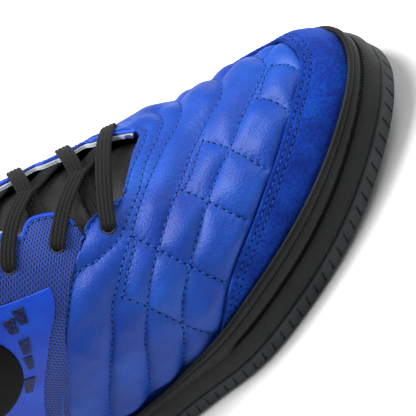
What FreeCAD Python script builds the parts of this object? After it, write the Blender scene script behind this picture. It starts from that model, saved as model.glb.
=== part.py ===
"""Right boxing boot as an assembly: cupsole unit, lasted upper, ankle shaft, tongue and lacing.

Millimetres. +X points to the toe, +Y to the medial side, +Z up; the tread rests on z = 0.
The upper follows one smooth shape, a foot form blended with a leg form, and every panel is a
thin solid laid at its own depth on that shape.
"""
import FreeCAD, Part
import math
import os

# ---------------------------------------------------------------- driving sizes

doc = FreeCAD.newDocument("boot")
sheet = doc.addObject("Spreadsheet::Sheet", "sizes")

DRIVING_SIZES = [
    ("upper_length", 294.5), ("ball_breadth", 106.6), ("collar_height", 198.0),
    ("tread_height", 7.6), ("wall_top", 24.2), ("wall_reach", 3.65), ("wall_gap", 1.35),
    ("toe_lift", 8.4), ("toe_lift_start", 70.0), ("groove_height", 18.0),
    ("groove_width", 1.8), ("groove_depth", 1.3), ("foam_top", 13.6), ("board_top", 15.6),
    ("sockliner_base", 16.0), ("sockliner_top", 20.0), ("board_inset", 1.7),
    ("sockliner_inset", 5.4), ("leather", 1.2), ("overlay", 1.2), ("bond", 0.2),
    ("lining", 1.0), ("lace_width", 6.6),
    ("lace_thickness", 1.3), ("lace_pitch", 21.0), ("hole_radius", 2.6), ("tongue_depth", 4.2),
    ("shank_length", 96.0), ("shank_width", 16.0), ("shank_thickness", 1.6),
    ("tab_width", 16.0), ("tab_height", 34.0), ("tab_depth", 5.6), ("tab_wall", 1.5),
    ("groove_spacing", 5.8), ("pivot_radius", 22.0), ("tread_depth", 2.2),
]
for row, (alias, value) in enumerate(DRIVING_SIZES, start=1):
    sheet.set("A%d" % row, alias)
    sheet.set("B%d" % row, str(value))
    sheet.setAlias("B%d" % row, alias)
doc.recompute()


def size(alias):
    """Value of one named cell of the sheet."""
    return float(sheet.get(alias))


NODES = []


def keep(obj, name):
    """Make a document object one of the boot's pieces."""
    obj.Label = name
    NODES.append(obj)
    return obj


# ---------------------------------------------------------------- smooth curves

def curve_through(stations):
    """Smooth value along one axis through hand-set stations, flat beyond both ends."""
    at = [float(p[0]) for p in stations]
    val = [float(p[1]) for p in stations]
    gap = [b - a for a, b in zip(at, at[1:])]
    rise = [(b - a) / g for a, b, g in zip(val, val[1:], gap)]
    slope = [0.0] * len(at)
    for i in range(1, len(at) - 1):
        slope[i] = (rise[i - 1] * gap[i] + rise[i] * gap[i - 1]) / (gap[i - 1] + gap[i])
    if len(at) > 2:
        slope[0] = 1.5 * rise[0] - 0.5 * slope[1]
        slope[-1] = 1.5 * rise[-1] - 0.5 * slope[-2]
    else:
        slope = [rise[0], rise[0]]

    def value(x):
        if x <= at[0]:
            return val[0]
        if x >= at[-1]:
            return val[-1]
        i = 0
        while x > at[i + 1]:
            i += 1
        g = gap[i]
        t = (x - at[i]) / g
        a = (2 * t - 3) * t * t + 1
        b = ((t - 2) * t + 1) * t
        c = (3 - 2 * t) * t * t
        d = (t - 1) * t * t
        return a * val[i] + b * g * slope[i] + c * val[i + 1] + d * g * slope[i + 1]

    return value


LONG = size("upper_length") / 294.5
WIDE = size("ball_breadth") / 106.6
HEEL_X = -147.25 * LONG
TOE_X = 147.25 * LONG


def lengthwise(stations, scale=1.0):
    """Curve along the boot whose stations are set for the base size."""
    return curve_through([(x * LONG, v * scale) for x, v in stations])


medial_edge = lengthwise(
    [(-147.25, 3), (-145.5, 14), (-139.5, 24), (-128, 31.5), (-111, 35.5), (-82, 36.5),
     (-38, 36.5), (10, 43), (45, 52.35), (72, 53.15), (98, 48.6), (118, 42.5), (132, 38),
     (141, 28.5), (145.5, 18.5), (147.25, 9.5)], WIDE)
lateral_edge = lengthwise(
    [(-147.25, 3), (-145.5, -8), (-139.5, -18), (-128, -26), (-111, -31), (-82, -34.5),
     (-38, -41), (10, -49.5), (45, -53.35), (72, -47.6), (98, -38.3), (118, -27.2),
     (132, -16), (141, -6.1), (145.5, 2.3), (147.25, 9.5)], WIDE)
foot_top = lengthwise(
    [(-147.5, 44), (-141, 58), (-126, 72), (-105, 84), (-60, 97), (-12, 106), (20, 101),
     (40, 88), (60, 73), (80, 61.5), (100, 55.5), (116, 50.5), (128, 45.8), (138, 39.5),
     (144, 32), (147, 24)])
leg_back = curve_through(
    [(10, -146.2), (20, -147.2), (40, -148.2), (60, -146.8), (90, -140.5), (110, -137.5),
     (130, -136.5), (150, -137.5), (175, -140), (205, -144)])
leg_front = curve_through(
    [(10, -5), (60, -5), (90, -8), (110, -15), (130, -21), (150, -26), (175, -29), (205, -31)])
leg_breadth = curve_through(
    [(10, 31.5), (40, 34), (60, 34.5), (90, 35.5), (110, 36.5), (130, 36.5), (150, 36.5),
     (175, 38.5), (205, 41.5)])
blend_width = lengthwise([(-100, 8), (-5, 34)])
foot_inset = lengthwise([(-147, 34), (-132, 14), (-105, 5), (-30, 0)])

WIDEST_Z = 24.0
UNDERSIDE = 16.0
LEG_Y = 2.0


def foot_field(x, y, z):
    """Signed measure of the foot form: negative inside, about millimetres near its skin."""
    inner, outer = medial_edge(x), lateral_edge(x)
    half = max((inner - outer) / 2, 0.5)
    across = abs(y - (inner + outer) / 2) / half
    height = max(foot_top(x) - WIDEST_Z, 1.0)
    if z > WIDEST_Z:
        reach = (across ** 2.15 + ((z - WIDEST_Z) / height) ** 2.15) ** (1 / 2.15)
    else:
        reach = (across ** 5 + ((WIDEST_Z - z) / UNDERSIDE) ** 5) ** 0.2
    value = (reach - 1) * max(18.0, min(half, height + 8)) + foot_inset(x)
    beyond = max(HEEL_X - x, x - TOE_X)
    return max(value, 0) + beyond if beyond > 0 else value


def leg_field(x, y, z):
    """Signed measure of the leg form, an upright tube with oval sections."""
    front, back, breadth = leg_front(z), leg_back(z), leg_breadth(z)
    along = abs(x - (front + back) / 2) / ((front - back) / 2)
    across = abs(y - LEG_Y) / breadth
    return ((along ** 2.2 + across ** 2.2) ** (1 / 2.2) - 1) * breadth


def field(x, y, z):
    """Signed measure of the whole upper: both forms, run together smoothly."""
    foot = foot_field(x, y, z)
    leg = leg_field(x, y, z)
    width = blend_width(x)
    share = min(1.0, max(0.0, 0.5 + 0.5 * (leg - foot) / width))
    return leg * (1 - share) + foot * share - width * share * (1 - share)


def outward(x, y, z):
    """Unit normal of the upper's skin at a point."""
    step = 0.25
    nx = field(x + step, y, z) - field(x - step, y, z)
    ny = field(x, y + step, z) - field(x, y - step, z)
    nz = field(x, y, z + step) - field(x, y, z - step)
    length = math.sqrt(nx * nx + ny * ny + nz * nz) or 1.0
    return nx / length, ny / length, nz / length


def shoot(start, ray):
    """Where a ray from inside the upper meets its skin, with the normal there."""
    near, far = 0.0, 150.0
    for _ in range(26):
        middle = (near + far) / 2
        point = [a + b * middle for a, b in zip(start, ray)]
        if field(*point) < 0:
            near = middle
        else:
            far = middle
    point = [a + b * near for a, b in zip(start, ray)]
    return point, outward(*point)


def lifted(hit, lift):
    """Point at a height above (or below) the skin."""
    point, normal = hit
    return FreeCAD.Vector(*[a + b * lift for a, b in zip(point, normal)])


# ---------------------------------------------------------------- ways to lay a panel

FAN_X, FAN_Z = 35.0, 235.0
FAN_STEP = 0.5
ring_centre_z = curve_through([(35, 50), (70, 40), (110, 33), (135, 30), (144, 26)])
ring_reach = curve_through(
    [(0, 185), (15, 178), (30, 172), (40, 166), (45, 162), (50, 152), (60, 134), (75, 120),
     (89, 116)])
ring_y = curve_through([(0, -0.3), (15, 0), (30, 1.5), (45, 2), (89, 2)])


def on_ring(station, angle):
    """Skin point of a cross-section ring: angle 0 on top, + medial, - lateral, degrees.

    Stations ahead of FAN_X are upright sections at that x. Behind it the sections fan out
    about an axis over the instep, half a degree a station, so they turn level at the collar.
    """
    if station >= FAN_X:
        tilt = 0.0
        centre = (station, (medial_edge(station) + lateral_edge(station)) / 2,
                  ring_centre_z(station))
    else:
        degrees = min((FAN_X - station) * FAN_STEP, 89.0)
        tilt = math.radians(degrees)
        reach = ring_reach(degrees)
        centre = (FAN_X - reach * math.sin(tilt), ring_y(degrees), FAN_Z - reach * math.cos(tilt))
    turn = math.radians(angle)
    ray = (math.sin(tilt) * math.cos(turn), math.sin(turn), math.cos(tilt) * math.cos(turn))
    return shoot(centre, ray)


def on_level(z, angle):
    """Skin point at one height: angle 0 in front, + medial, - lateral, 180 at the back."""
    turn = math.radians(angle)
    centre = ((leg_front(z) + leg_back(z)) / 2, LEG_Y, z)
    return shoot(centre, (math.cos(turn), math.sin(turn), 0.0))


def on_side(x, z, side):
    """Skin point straight out from the middle plane: side +1 medial, -1 lateral."""
    return shoot((x, LEG_Y, z), (0.0, float(side), 0.0))


size_toe_lift = size("toe_lift")
size_toe_lift_start = size("toe_lift_start")


def spring(x):
    """How far the toe end of the sole curves up from the ground."""
    past = max(0.0, x - size_toe_lift_start) / 80.0
    return size_toe_lift * past * past


TUCK_Z = 14.3


def feather(station, side, z=TUCK_Z):
    """Ring angle at which the skin reaches the height where it is tucked into the sole."""
    low, high = 60.0, 180.0
    for _ in range(18):
        middle = (low + high) / 2
        point, _normal = on_ring(station, side * middle)
        if point[2] > z + spring(point[0]):
            low = middle
        else:
            high = middle
    return low


RIM_INSET = 18.0


def rim_point(turn):
    """Plan point and outward direction on the upper's outline, turn 0 at the toe tip.

    turn runs from -1 at the lateral heel quarter to +1 at the medial one, by x.
    """
    side = 1 if turn >= 0 else -1
    edge = medial_edge if side > 0 else lateral_edge
    share = abs(turn)
    x = TOE_X - (TOE_X - HEEL_X) * (1 - math.cos(math.pi * share)) / 2
    step = 0.004
    before = TOE_X - (TOE_X - HEEL_X) * (1 - math.cos(math.pi * max(share - step, 0))) / 2
    after = TOE_X - (TOE_X - HEEL_X) * (1 - math.cos(math.pi * min(share + step, 1))) / 2
    dx, dy = after - before, edge(after) - edge(before)
    if share < step:
        dx, dy = 0.0, side * 1.0
    length = math.hypot(dx, dy)
    return (x, edge(x)), (side * dy / length, -side * dx / length)


def on_rim(turn, rise):
    """Skin point beside the sole's rim: turn as rim_point, rise in degrees above level."""
    (x, y), (nx, ny) = rim_point(turn)
    pitch = math.radians(rise)
    start = (x - nx * RIM_INSET, y - ny * RIM_INSET, WIDEST_Z)
    return shoot(start, (nx * math.cos(pitch), ny * math.cos(pitch), math.sin(pitch)))


# ---------------------------------------------------------------- panel solids

def grid(place, across, along):
    """Skin hits on a regular net over one panel."""
    return [[place(i / across, j / along) for j in range(along + 1)] for i in range(across + 1)]


def even_knots(count):
    """Degree, knots and multiplicities of a clamped curve with this many poles."""
    degree = min(3, count - 1)
    knots = [float(i) for i in range(count - degree + 1)]
    mults = [degree + 1] + [1] * (len(knots) - 2) + [degree + 1]
    return degree, knots, mults


def sheet_face(hits, lift):
    """Smooth face that follows a net of skin hits at one lift, a number or a list of lists."""
    rows = []
    for i, row in enumerate(hits):
        lifts = [lift] * len(row) if isinstance(lift, (int, float)) else lift[i]
        rows.append([lifted(hit, up) for hit, up in zip(row, lifts)])
    u_degree, u_knots, u_mults = even_knots(len(rows))
    v_degree, v_knots, v_mults = even_knots(len(rows[0]))
    surface = Part.BSplineSurface()
    surface.buildFromPolesMultsKnots(rows, u_mults, v_mults, u_knots, v_knots, False, False,
                                     u_degree, v_degree)
    return surface


def ruled_face(first, second):
    """Face of straight lines between two curves with the same knots."""
    surface = Part.BSplineSurface()
    surface.buildFromPolesMultsKnots([first.getPoles(), second.getPoles()], [2, 2],
                                     first.getMultiplicities(), [0.0, 1.0], first.getKnots(),
                                     False, False, 1, first.Degree)
    return surface.toShape()


def between(low, high):
    """Closed solid between two smooth faces that share their parameters."""
    faces = [low.toShape(), high.toShape()]
    u0, u1, v0, v1 = low.bounds()
    for u in (u0, u1):
        faces.append(ruled_face(low.uIso(u), high.uIso(u)))
    for v in (v0, v1):
        faces.append(ruled_face(low.vIso(v), high.vIso(v)))
    shell = Part.makeShell(faces)
    shell.sewShape()
    solid = Part.makeSolid(shell)
    if solid.Volume < 0:
        solid.reverse()
    return solid


def panel_solid(place, low, high, across, along):
    """Thin solid between two lifts over one four-sided panel."""
    hits = grid(place, across, along)
    return between(sheet_face(hits, low), sheet_face(hits, high))


def add_panel(name, place, low, high, across=12, along=8):
    """One panel as a piece of its own."""
    piece = doc.addObject("Part::Feature", name)
    piece.Shape = panel_solid(place, low, high, across, along)
    return keep(piece, name)


def mix(a, b, share):
    return a + (b - a) * share


# ---------------------------------------------------------------- sole unit

def outline_wire(reach, level, count=22):
    """Closed plan outline of the upper's skin at a level, grown outward (or inward) by reach."""
    points = []
    for i in range(-count + 1, count + 1):
        (x, y), (nx, ny) = rim_point(i / count)
        if i == count:
            nx, ny = -1.0, 0.0
        start = (x - nx * RIM_INSET, y - ny * RIM_INSET, min(level + spring(x), WIDEST_Z))
        (x, y, _z), _n = shoot(start, (nx, ny, 0.0))
        points.append(FreeCAD.Vector(x + nx * reach, y + ny * reach, 0))
    curve = Part.BSplineCurve()
    curve.interpolate(Points=points, PeriodicFlag=True)
    return Part.Wire([curve.toShape()])


def prism(name, reach, level=20.0):
    """Upright block over the plan outline, tall enough for the whole sole."""
    base = doc.addObject("Part::Feature", name + "_outline")
    base.Shape = Part.Face(outline_wire(reach, level))
    block = doc.addObject("Part::Extrusion", name + "_prism")
    block.Base = base
    block.Dir = (0, 0, 1)
    block.setExpression("LengthFwd", "sizes.wall_top * 2")
    block.Solid = True
    return block


def level_edges(height, half_length=165.0):
    """Side-view line of the sole at a height: level under the foot, rising with the toe's lift."""
    varies = callable(height)
    first = -half_length if varies else size_toe_lift_start
    steps = 44 if varies else 14
    points = []
    for i in range(steps + 1):
        x = mix(first, half_length, i / steps)
        points.append(FreeCAD.Vector(x, 0, (height(x) if varies else height) + spring(x)))
    curve = Part.BSplineCurve()
    if varies:
        curve.interpolate(points)
        return [curve.toShape()], points
    curve.interpolate(points, InitialTangent=FreeCAD.Vector(1, 0, 0),
                      FinalTangent=points[-1] - points[-2])
    level = Part.LineSegment(FreeCAD.Vector(-half_length, 0, height), points[0])
    return [level.toShape(), curve.toShape()], [FreeCAD.Vector(-half_length, 0, height)] + points


def layer(name, low, high):
    """Slab across the whole width between two heights that follow the toe's lift."""
    bottom, low_points = level_edges(low)
    top, high_points = level_edges(high)
    ends = [Part.LineSegment(high_points[0], low_points[0]).toShape(),
            Part.LineSegment(low_points[-1], high_points[-1]).toShape()]
    wire = Part.Wire(Part.sortEdges(bottom + top + ends)[0])
    base = doc.addObject("Part::Feature", name + "_side_view")
    base.Shape = Part.Face(wire)
    slab = doc.addObject("Part::Extrusion", name + "_slab")
    slab.Base = base
    slab.Dir = (0, 1, 0)
    slab.setExpression("LengthFwd", "sizes.ball_breadth * 0.75")
    slab.setExpression("LengthRev", "sizes.ball_breadth * 0.75")
    slab.Solid = True
    return slab


def both(name, a, b):
    """What two solids share."""
    joint = doc.addObject("Part::Common", name)
    joint.Base = a
    joint.Tool = b
    return joint


def less(name, a, b):
    """One solid with another cut away."""
    cut = doc.addObject("Part::Cut", name)
    cut.Base = a
    cut.Tool = b
    return cut


TREAD_REACH = 2.8
wall_rim = lengthwise([(-150, 27), (-120, 26), (-70, 21.5), (-10, 21), (8, 21.8), (22, 24.2), (150, 24.2)])


def tread_cuts():
    """Cross grooves under the forefoot and heel, and a round pivot groove under the ball."""
    depth = size("tread_depth")
    pitch = size("groove_spacing") * 1.5
    half = size("ball_breadth")
    tools = []
    x = -138.0
    while x < 140.0:
        near_pivot = abs(x - 76.0) < size("pivot_radius") + 6
        waist = -52.0 < x < 4.0
        if not near_pivot and not waist:
            top = spring(x) + depth
            bar = Part.makeBox(1.8, half, top + 4.0, FreeCAD.Vector(x, -half / 2, -4.0))
            tools.append(bar)
        x += pitch
    centre = FreeCAD.Vector(76.0, 2.0, -4.0)
    radius = size("pivot_radius")
    for outer in (radius, radius - 8.0):
        ring = Part.makeCylinder(outer, depth + 4.0, centre)
        tools.append(ring.cut(Part.makeCylinder(outer - 1.8, depth + 4.0, centre)))
    cuts = doc.addObject("Part::Feature", "tread_cuts")
    cuts.Shape = Part.makeCompound(tools)
    return cuts


def make_outsole():
    block = both("outsole_block", prism("tread", TREAD_REACH), layer("tread", 0.0, size("tread_height")))
    keep(less("outsole_cut", block, tread_cuts()), "outsole")


def make_sidewall():
    """Rubber cup wall round the upper, with a stitch channel round the toe."""
    ring = less("wall_ring", prism("wall_out", size("wall_reach")), prism("wall_in", size("wall_gap")))
    body = both("wall_block", ring, layer("wall", size("tread_height"), wall_rim))
    channel_ring = less("channel_ring", prism("channel_out", size("wall_reach") + 2.0),
                        prism("channel_in", size("wall_reach") - size("groove_depth")))
    half = size("groove_width") / 2
    level = layer("channel", size("groove_height") - half, size("groove_height") + half)
    reach = doc.addObject("Part::Box", "channel_reach")
    reach.setExpression("Length", "sizes.upper_length / 2")
    reach.setExpression("Width", "sizes.ball_breadth * 2")
    reach.setExpression("Height", "sizes.wall_top * 2")
    reach.Placement = FreeCAD.Placement(FreeCAD.Vector(44.0, -size("ball_breadth"), 0), FreeCAD.Rotation())
    channel = both("channel_toe", both("channel_band", channel_ring, level), reach)
    keep(less("wall_cut", body, channel), "cupsole_sidewall")


def make_shank():
    """Flat steel spring under the waist, with round ends."""
    body = doc.addObject("PartDesign::Body", "shank_body")
    sketch = body.newObject("Sketcher::SketchObject", "shank_shape")
    plane = [f for f in body.Origin.OriginFeatures if f.Role == "XY_Plane"][0]
    sketch.AttachmentSupport = [(plane, "")]
    sketch.MapMode = "FlatFace"
    half = size("shank_length") / 2 - size("shank_width") / 2
    radius = size("shank_width") / 2
    up = FreeCAD.Vector(0, 0, 1)
    rear, front = FreeCAD.Vector(-half, -radius, 0), FreeCAD.Vector(half, -radius, 0)
    sketch.addGeometry(Part.LineSegment(rear, front))
    sketch.addGeometry(Part.ArcOfCircle(Part.Circle(FreeCAD.Vector(half, 0, 0), up, radius),
                                        -math.pi / 2, math.pi / 2))
    sketch.addGeometry(Part.LineSegment(FreeCAD.Vector(half, radius, 0),
                                        FreeCAD.Vector(-half, radius, 0)))
    sketch.addGeometry(Part.ArcOfCircle(Part.Circle(FreeCAD.Vector(-half, 0, 0), up, radius),
                                        math.pi / 2, 3 * math.pi / 2))
    pad = body.newObject("PartDesign::Pad", "shank_pad")
    pad.Profile = sketch
    pad.setExpression("Length", "sizes.shank_thickness")
    body.Placement = FreeCAD.Placement(
        FreeCAD.Vector(-42.0, -0.5, size("foam_top") - size("shank_thickness")), FreeCAD.Rotation())
    doc.recompute()
    return keep(body, "shank")


def make_inner_sole(shank):
    """Foam core, lasting board and loose sockliner inside the cup."""
    foam_layer = layer("foam", size("tread_height"), size("foam_top"))
    foam = both("foam_block", prism("foam", size("wall_gap") - 0.1), foam_layer)
    keep(less("foam_cut", foam, shank), "midsole_foam")
    keep(both("board_block", prism("board", -size("board_inset"), 14.6),
              layer("board", size("foam_top"), size("board_top"))), "lasting_board")
    keep(both("sockliner_block", prism("sockliner", -size("sockliner_inset"), 16.5),
              layer("sockliner", size("sockliner_base"), size("sockliner_top"))), "sockliner")


# ---------------------------------------------------------------- seam lines of the upper

# Shares run from -1 at the lateral tuck line over the top to +1 at the medial one.
vamp_front = curve_through(
    [(-1, 36), (-0.93, 42), (-0.85, 56), (-0.78, 70), (-0.70, 86), (-0.65, 99), (-0.59, 110),
     (-0.53, 120), (-0.43, 130), (-0.25, 134), (0, 134.5), (0.25, 134.5), (0.45, 134),
     (0.56, 131), (0.63, 123), (0.66, 112), (0.69, 99), (0.74, 86), (0.82, 70), (0.9, 56),
     (1, 40)])
vamp_rear = curve_through(
    [(-1, -9), (-0.83, -4), (-0.76, 0), (-0.65, 6), (-0.54, 12), (-0.48, 17), (-0.43, 22),
     (-0.38, 27), (-0.31, 36), (-0.23, 46), (-0.17, 54), (-0.06, 58), (0.03, 60), (0.13, 62),
     (0.23, 64), (0.31, 64), (0.37, 58), (0.42, 48), (0.47, 38), (0.53, 29), (0.6, 22),
     (0.68, 15), (0.78, 8), (0.88, 3), (1, -3)])
cap_rise = curve_through(
    [(-0.42, -12), (-0.407, 0), (-0.375, 25), (-0.341, 40), (-0.30, 49), (-0.264, 56),
     (-0.22, 62), (-0.17, 68), (-0.10, 74), (0, 75), (0.10, 72), (0.15, 63), (0.18, 55),
     (0.22, 53), (0.264, 52), (0.30, 47), (0.341, 38), (0.375, 24), (0.407, 0), (0.42, -10)])
edge_inner = {
    -1: curve_through([(-95, 13), (-60, 12), (-30, 13), (0, 15), (20, 18), (35, 21), (47, 22), (57, 20)]),
    1: curve_through([(-95, 13), (-60, 12), (-30, 13), (0, 15), (20, 20), (35, 35), (50, 44), (64, 37)])}
edge_holes = {
    -1: curve_through([(-95, 23), (-60, 23), (-30, 25), (-6, 27), (12, 29), (28, 31), (47, 36), (60, 36)]),
    1: curve_through([(-95, 23), (-60, 23), (-30, 25), (0, 28), (20, 32), (35, 47), (50, 58), (62, 60)])}
edge_outer = {
    -1: curve_through([(-95, 33), (-60, 35), (-20, 40), (10, 44), (29, 48), (47, 48), (57, 42)]),
    1: curve_through([(-95, 33), (-60, 35), (-20, 40), (0, 44), (20, 48), (35, 62), (50, 70), (64, 62)])}
EYESTAY_FRONT = {-1: 57.0, 1: 64.0}
FIRST_HOLE = {-1: 47.0, 1: 50.0}
SIDE_NAMES = {-1: "lateral", 1: "medial"}
HEEL_HALF = 62.0
HEEL_SEAM_Z = 92.0
CROWN_RISE = 13.0
SEAM = 0.3


def by_share(station, share):
    """Ring point whose angle is a share of the way down to the tuck line."""
    side = 1 if share >= 0 else -1
    return on_ring(station, share * feather(station, side))


size_collar = size("collar_height")


def collar_z(angle):
    """Height of the collar's edge round the leg."""
    return size_collar - 5.0 * math.sin(math.radians(angle)) ** 2



# ---------------------------------------------------------------- forefoot

def make_vamp():
    """Quilted front panel, with its foam and lining behind it."""
    leather = size("leather")

    def skin(u, v):
        share = mix(-1, 1, u)
        return by_share(mix(vamp_rear(share), vamp_front(share) + 3.0, v), share)

    def backing(u, v):
        share = mix(-0.84, 0.84, u)
        return by_share(mix(vamp_rear(share) + 9.0, vamp_front(share) - 1.0, v), share)

    add_panel("vamp", skin, -leather, 0.0, 30, 12)
    foam_top = -leather - size("bond")
    add_panel("vamp_foam", backing, foam_top - 1.5, foam_top, 24, 12)
    add_panel("vamp_lining", backing, foam_top - 2.2, foam_top - 1.6, 24, 12)


def cap_low(turn):
    """Rise at which the toe cap is tucked behind the wall."""
    (x, _y), _out = rim_point(turn)
    return -math.degrees(math.atan2(WIDEST_Z - TUCK_Z - spring(x), RIM_INSET - 0.4))


def make_toe():
    """Suede toe cap over a stiff toe puff."""
    def cap(u, v):
        turn = mix(-0.42, 0.42, u)
        return on_rim(turn, mix(cap_low(turn), cap_rise(turn), v))

    def puff(u, v):
        turn = mix(-0.27, 0.27, u)
        return on_rim(turn, mix(cap_low(turn), cap_rise(turn) - 20.0, v))

    add_panel("toe_cap", cap, size("bond"), size("overlay"), 36, 6)
    add_panel("toe_puff", puff, -size("leather"), -0.05, 24, 6)


# ---------------------------------------------------------------- sides

def quarter_corners(side):
    """Upper rear and upper front corners of a side panel, as x and z."""
    rear, _n = on_level(HEEL_SEAM_Z - SEAM, side * (180 - HEEL_HALF - 0.6))
    front, _n = by_share(vamp_rear(side * 0.36) - SEAM * 2, side * 0.36)
    return (rear[0], rear[2]), (front[0], front[2])


def crown_z(x, side):
    """Height of the seam between a side panel and the shaft panel above it."""
    (x0, z0), (x1, z1) = CORNERS[side]
    share = min(1.0, max(0.0, (x - x0) / (x1 - x0)))
    return mix(z0, z1, share) + CROWN_RISE * 4 * share * (1 - share)


CORNERS = {side: quarter_corners(side) for side in (-1, 1)}


def quarter_place(side, inset=0.0, foot=TUCK_Z):
    """Map of a side panel in the side view, from four seams that meet at its corners."""
    def seam_front(v):
        share = side * mix(1.0, 0.36, v)
        point, _n = by_share(vamp_rear(share) - SEAM * 2, share)
        return point[0] - inset, point[2]

    def seam_rear(v):
        point, _n = on_level(mix(foot, HEEL_SEAM_Z - SEAM, v), side * (180 - HEEL_HALF - 0.6))
        return point[0] + inset, point[2]

    low_rear, low_front = seam_rear(0), seam_front(0)
    top_rear, top_front = seam_rear(1), seam_front(1)

    def place(u, v):
        front, rear = seam_front(v), seam_rear(v)
        bottom = [mix(a, b, u) for a, b in zip(low_rear, low_front)]
        top = [mix(top_rear[0], top_front[0], u), 0.0]
        top[1] = crown_z(top[0], side) - inset
        point = []
        for k in (0, 1):
            ruled = mix(rear[k], front[k], u) + mix(bottom[k], top[k], v)
            corner = mix(mix(low_rear[k], low_front[k], u), mix(top_rear[k], top_front[k], u), v)
            point.append(ruled - corner)
        return on_side(point[0], max(point[1], foot), side)

    return place


def make_quarter(side):
    """Mesh side panel, its lining and the smooth film bonded over it."""
    name = SIDE_NAMES[side]
    leather = size("leather")
    add_panel(name + "_quarter_mesh", quarter_place(side), -leather, 0.0, 16, 8)
    under = -leather - size("bond")
    behind = quarter_place(side, 6.0, 17.0)
    add_panel(name + "_quarter_lining", behind, under - size("lining"), under, 14, 8)

    film_front = curve_through([(40, 22), (49, 21), (72, 9), (94, 0), (117, -7), (130, -10)])
    film_rear = curve_through([(40, -16), (130, -42)])

    def film(u, v):
        angle = mix(46, 124, u)
        return on_ring(mix(film_rear(angle), film_front(angle), v), side * angle)

    add_panel(name + "_film", film, size("bond"), size("bond") + 0.4, 12, 8)

    def badge(u, v):
        a, b = 2 * u - 1, 2 * v - 1
        across = a * math.sqrt(1 - b * b / 2)
        along = b * math.sqrt(1 - a * a / 2)
        return on_ring(-18.5 + 14 * along - 4 * across, side * (84 + 25 * across))

    add_panel(name + "_badge", badge, 0.7, 1.4, 10, 8)


# Small raised tiles beside the badge: middle station and angle, half sizes, and lean.
TILES = [(8, 52, 2.6, 4.2, 0.5), (3, 57, 2.2, 3.4, -0.4), (3, 70, 2.2, 4.6, 0.3),
         (0.5, 80, 1.6, 2.6, 0.3), (-4.3, 98, 2.4, 5.2, 0.2)]


def make_tiles(side):
    """Row of small moulded tiles on the film, in one piece group."""
    solids = []
    for station, angle, half_station, half_angle, lean in TILES:
        def tile(u, v):
            across = half_angle * (2 * u - 1)
            along = half_station * (2 * v - 1) * (1 - 0.25 * (2 * u - 1))
            return on_ring(station + along - lean * across, side * (angle + across))
        solids.append(panel_solid(tile, 0.7, 1.15, 3, 3))
    group = doc.addObject("Part::Feature", SIDE_NAMES[side] + "_tiles")
    group.Shape = Part.makeCompound(solids)
    keep(group, SIDE_NAMES[side] + "_tiles")


# ---------------------------------------------------------------- shaft

def front_seam(side):
    """Angle round the leg of the shaft panel's front edge, under the eyestay, by height."""
    pairs = []
    for i in range(9):
        station = mix(0, -90, i / 8)
        point, _n = on_ring(station, side * (edge_outer[side](station) - 7.0))
        middle = (leg_front(point[2]) + leg_back(point[2])) / 2
        pairs.append((point[2], math.degrees(math.atan2(abs(point[1] - LEG_Y), point[0] - middle))))
    return curve_through(sorted(pairs))


FRONT_SEAM = {side: front_seam(side) for side in (-1, 1)}


def foot_of_shaft(angle, side):
    """Height where the shaft panel starts at one angle."""
    z = 97.0
    for _ in range(5):
        point, _n = on_level(z, side * angle)
        z = max(HEEL_SEAM_Z, crown_z(point[0], side)) + SEAM
    return z


def shaft_place(side, low=None, high_drop=0.4, front=None, back=177.5):
    """Map of a shaft panel by height and angle."""
    def place(u, v):
        start = front if front is not None else FRONT_SEAM[side](98)
        angle = mix(start, back, u)
        for _ in range(3):
            base = low if low is not None else foot_of_shaft(angle, side)
            z = mix(base, collar_z(angle) - high_drop, v)
            start = front if front is not None else FRONT_SEAM[side](z)
            angle = mix(start, back, u)
        return on_level(z, side * angle)
    return place


def make_shaft(side):
    """Ankle panel and the lining inside it."""
    name = SIDE_NAMES[side]
    leather = size("leather")
    add_panel(name + "_shaft_panel", shaft_place(side), -leather, 0.0, 14, 10)

    def lining(u, v):
        return on_level(mix(106, 147, v), side * mix(72, 178, u))

    under = -leather - size("bond")
    add_panel(name + "_shaft_lining", lining, under - size("lining"), under, 12, 6)


def make_collar():
    """Padded collar with its lining and the rolled binding on its edge."""
    leather = size("leather")

    def ring(front, low, drop):
        def place(u, v):
            angle = mix(front, 360 - front, u)
            return on_level(mix(low, collar_z(angle) - drop, v), angle)
        return place

    def binding(u, v):
        angle = mix(26, 334, u)
        return on_level(collar_z(angle) + mix(-0.2, 2.6, v), angle)

    under = -leather - size("bond") - 0.1
    add_panel("collar_padding", ring(80, 149, 0.6), under - 3.6, under, 26, 7)
    add_panel("collar_lining", ring(80, 149, 0.6), under - 4.6, under - 3.7, 26, 7)
    depth = []
    for i in range(31):
        angle = mix(26, 334, i / 30)
        from_front = min(angle, 360 - angle)
        share = min(1.0, max(0.0, (from_front - 56) / 26))
        depth.append([mix(-leather - 0.3, -leather - 5.1, share * share * (3 - 2 * share))] * 3)
    add_panel("collar_binding", binding, depth, size("overlay"), 30, 2)


# ---------------------------------------------------------------- heel

def make_heel():
    """Heel panel with its stiffener, lining and outer cover, and the stay above it."""
    leather = size("leather")

    def band(half, low, top_mid, top_side):
        def place(u, v):
            offset = mix(-half, half, u)
            share = (offset / half) ** 2
            return on_level(mix(low, mix(top_mid, top_side, share), v), 180 + offset)
        return place

    add_panel("heel_panel", band(HEEL_HALF, TUCK_Z, HEEL_SEAM_Z - SEAM, HEEL_SEAM_Z - SEAM),
              -leather, 0.0, 22, 10)
    under = -leather - size("bond")
    add_panel("heel_counter", band(58, 16.2, 68, 50), under - 1.2, under, 20, 8)
    add_panel("heel_lining", band(66, 16.2, 96, 96), under - 2.3, under - 1.35, 22, 10)
    add_panel("heel_cover", band(76, TUCK_Z, 76, 40), size("bond"), size("overlay"), 26, 9)

    def stay(u, v):
        offset = mix(-11.5, 11.5, u)
        return on_level(mix(77.5, collar_z(180) - 1.0, v), 180 + offset)

    add_panel("back_stay", stay, size("bond"), size("overlay"), 6, 10)


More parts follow.
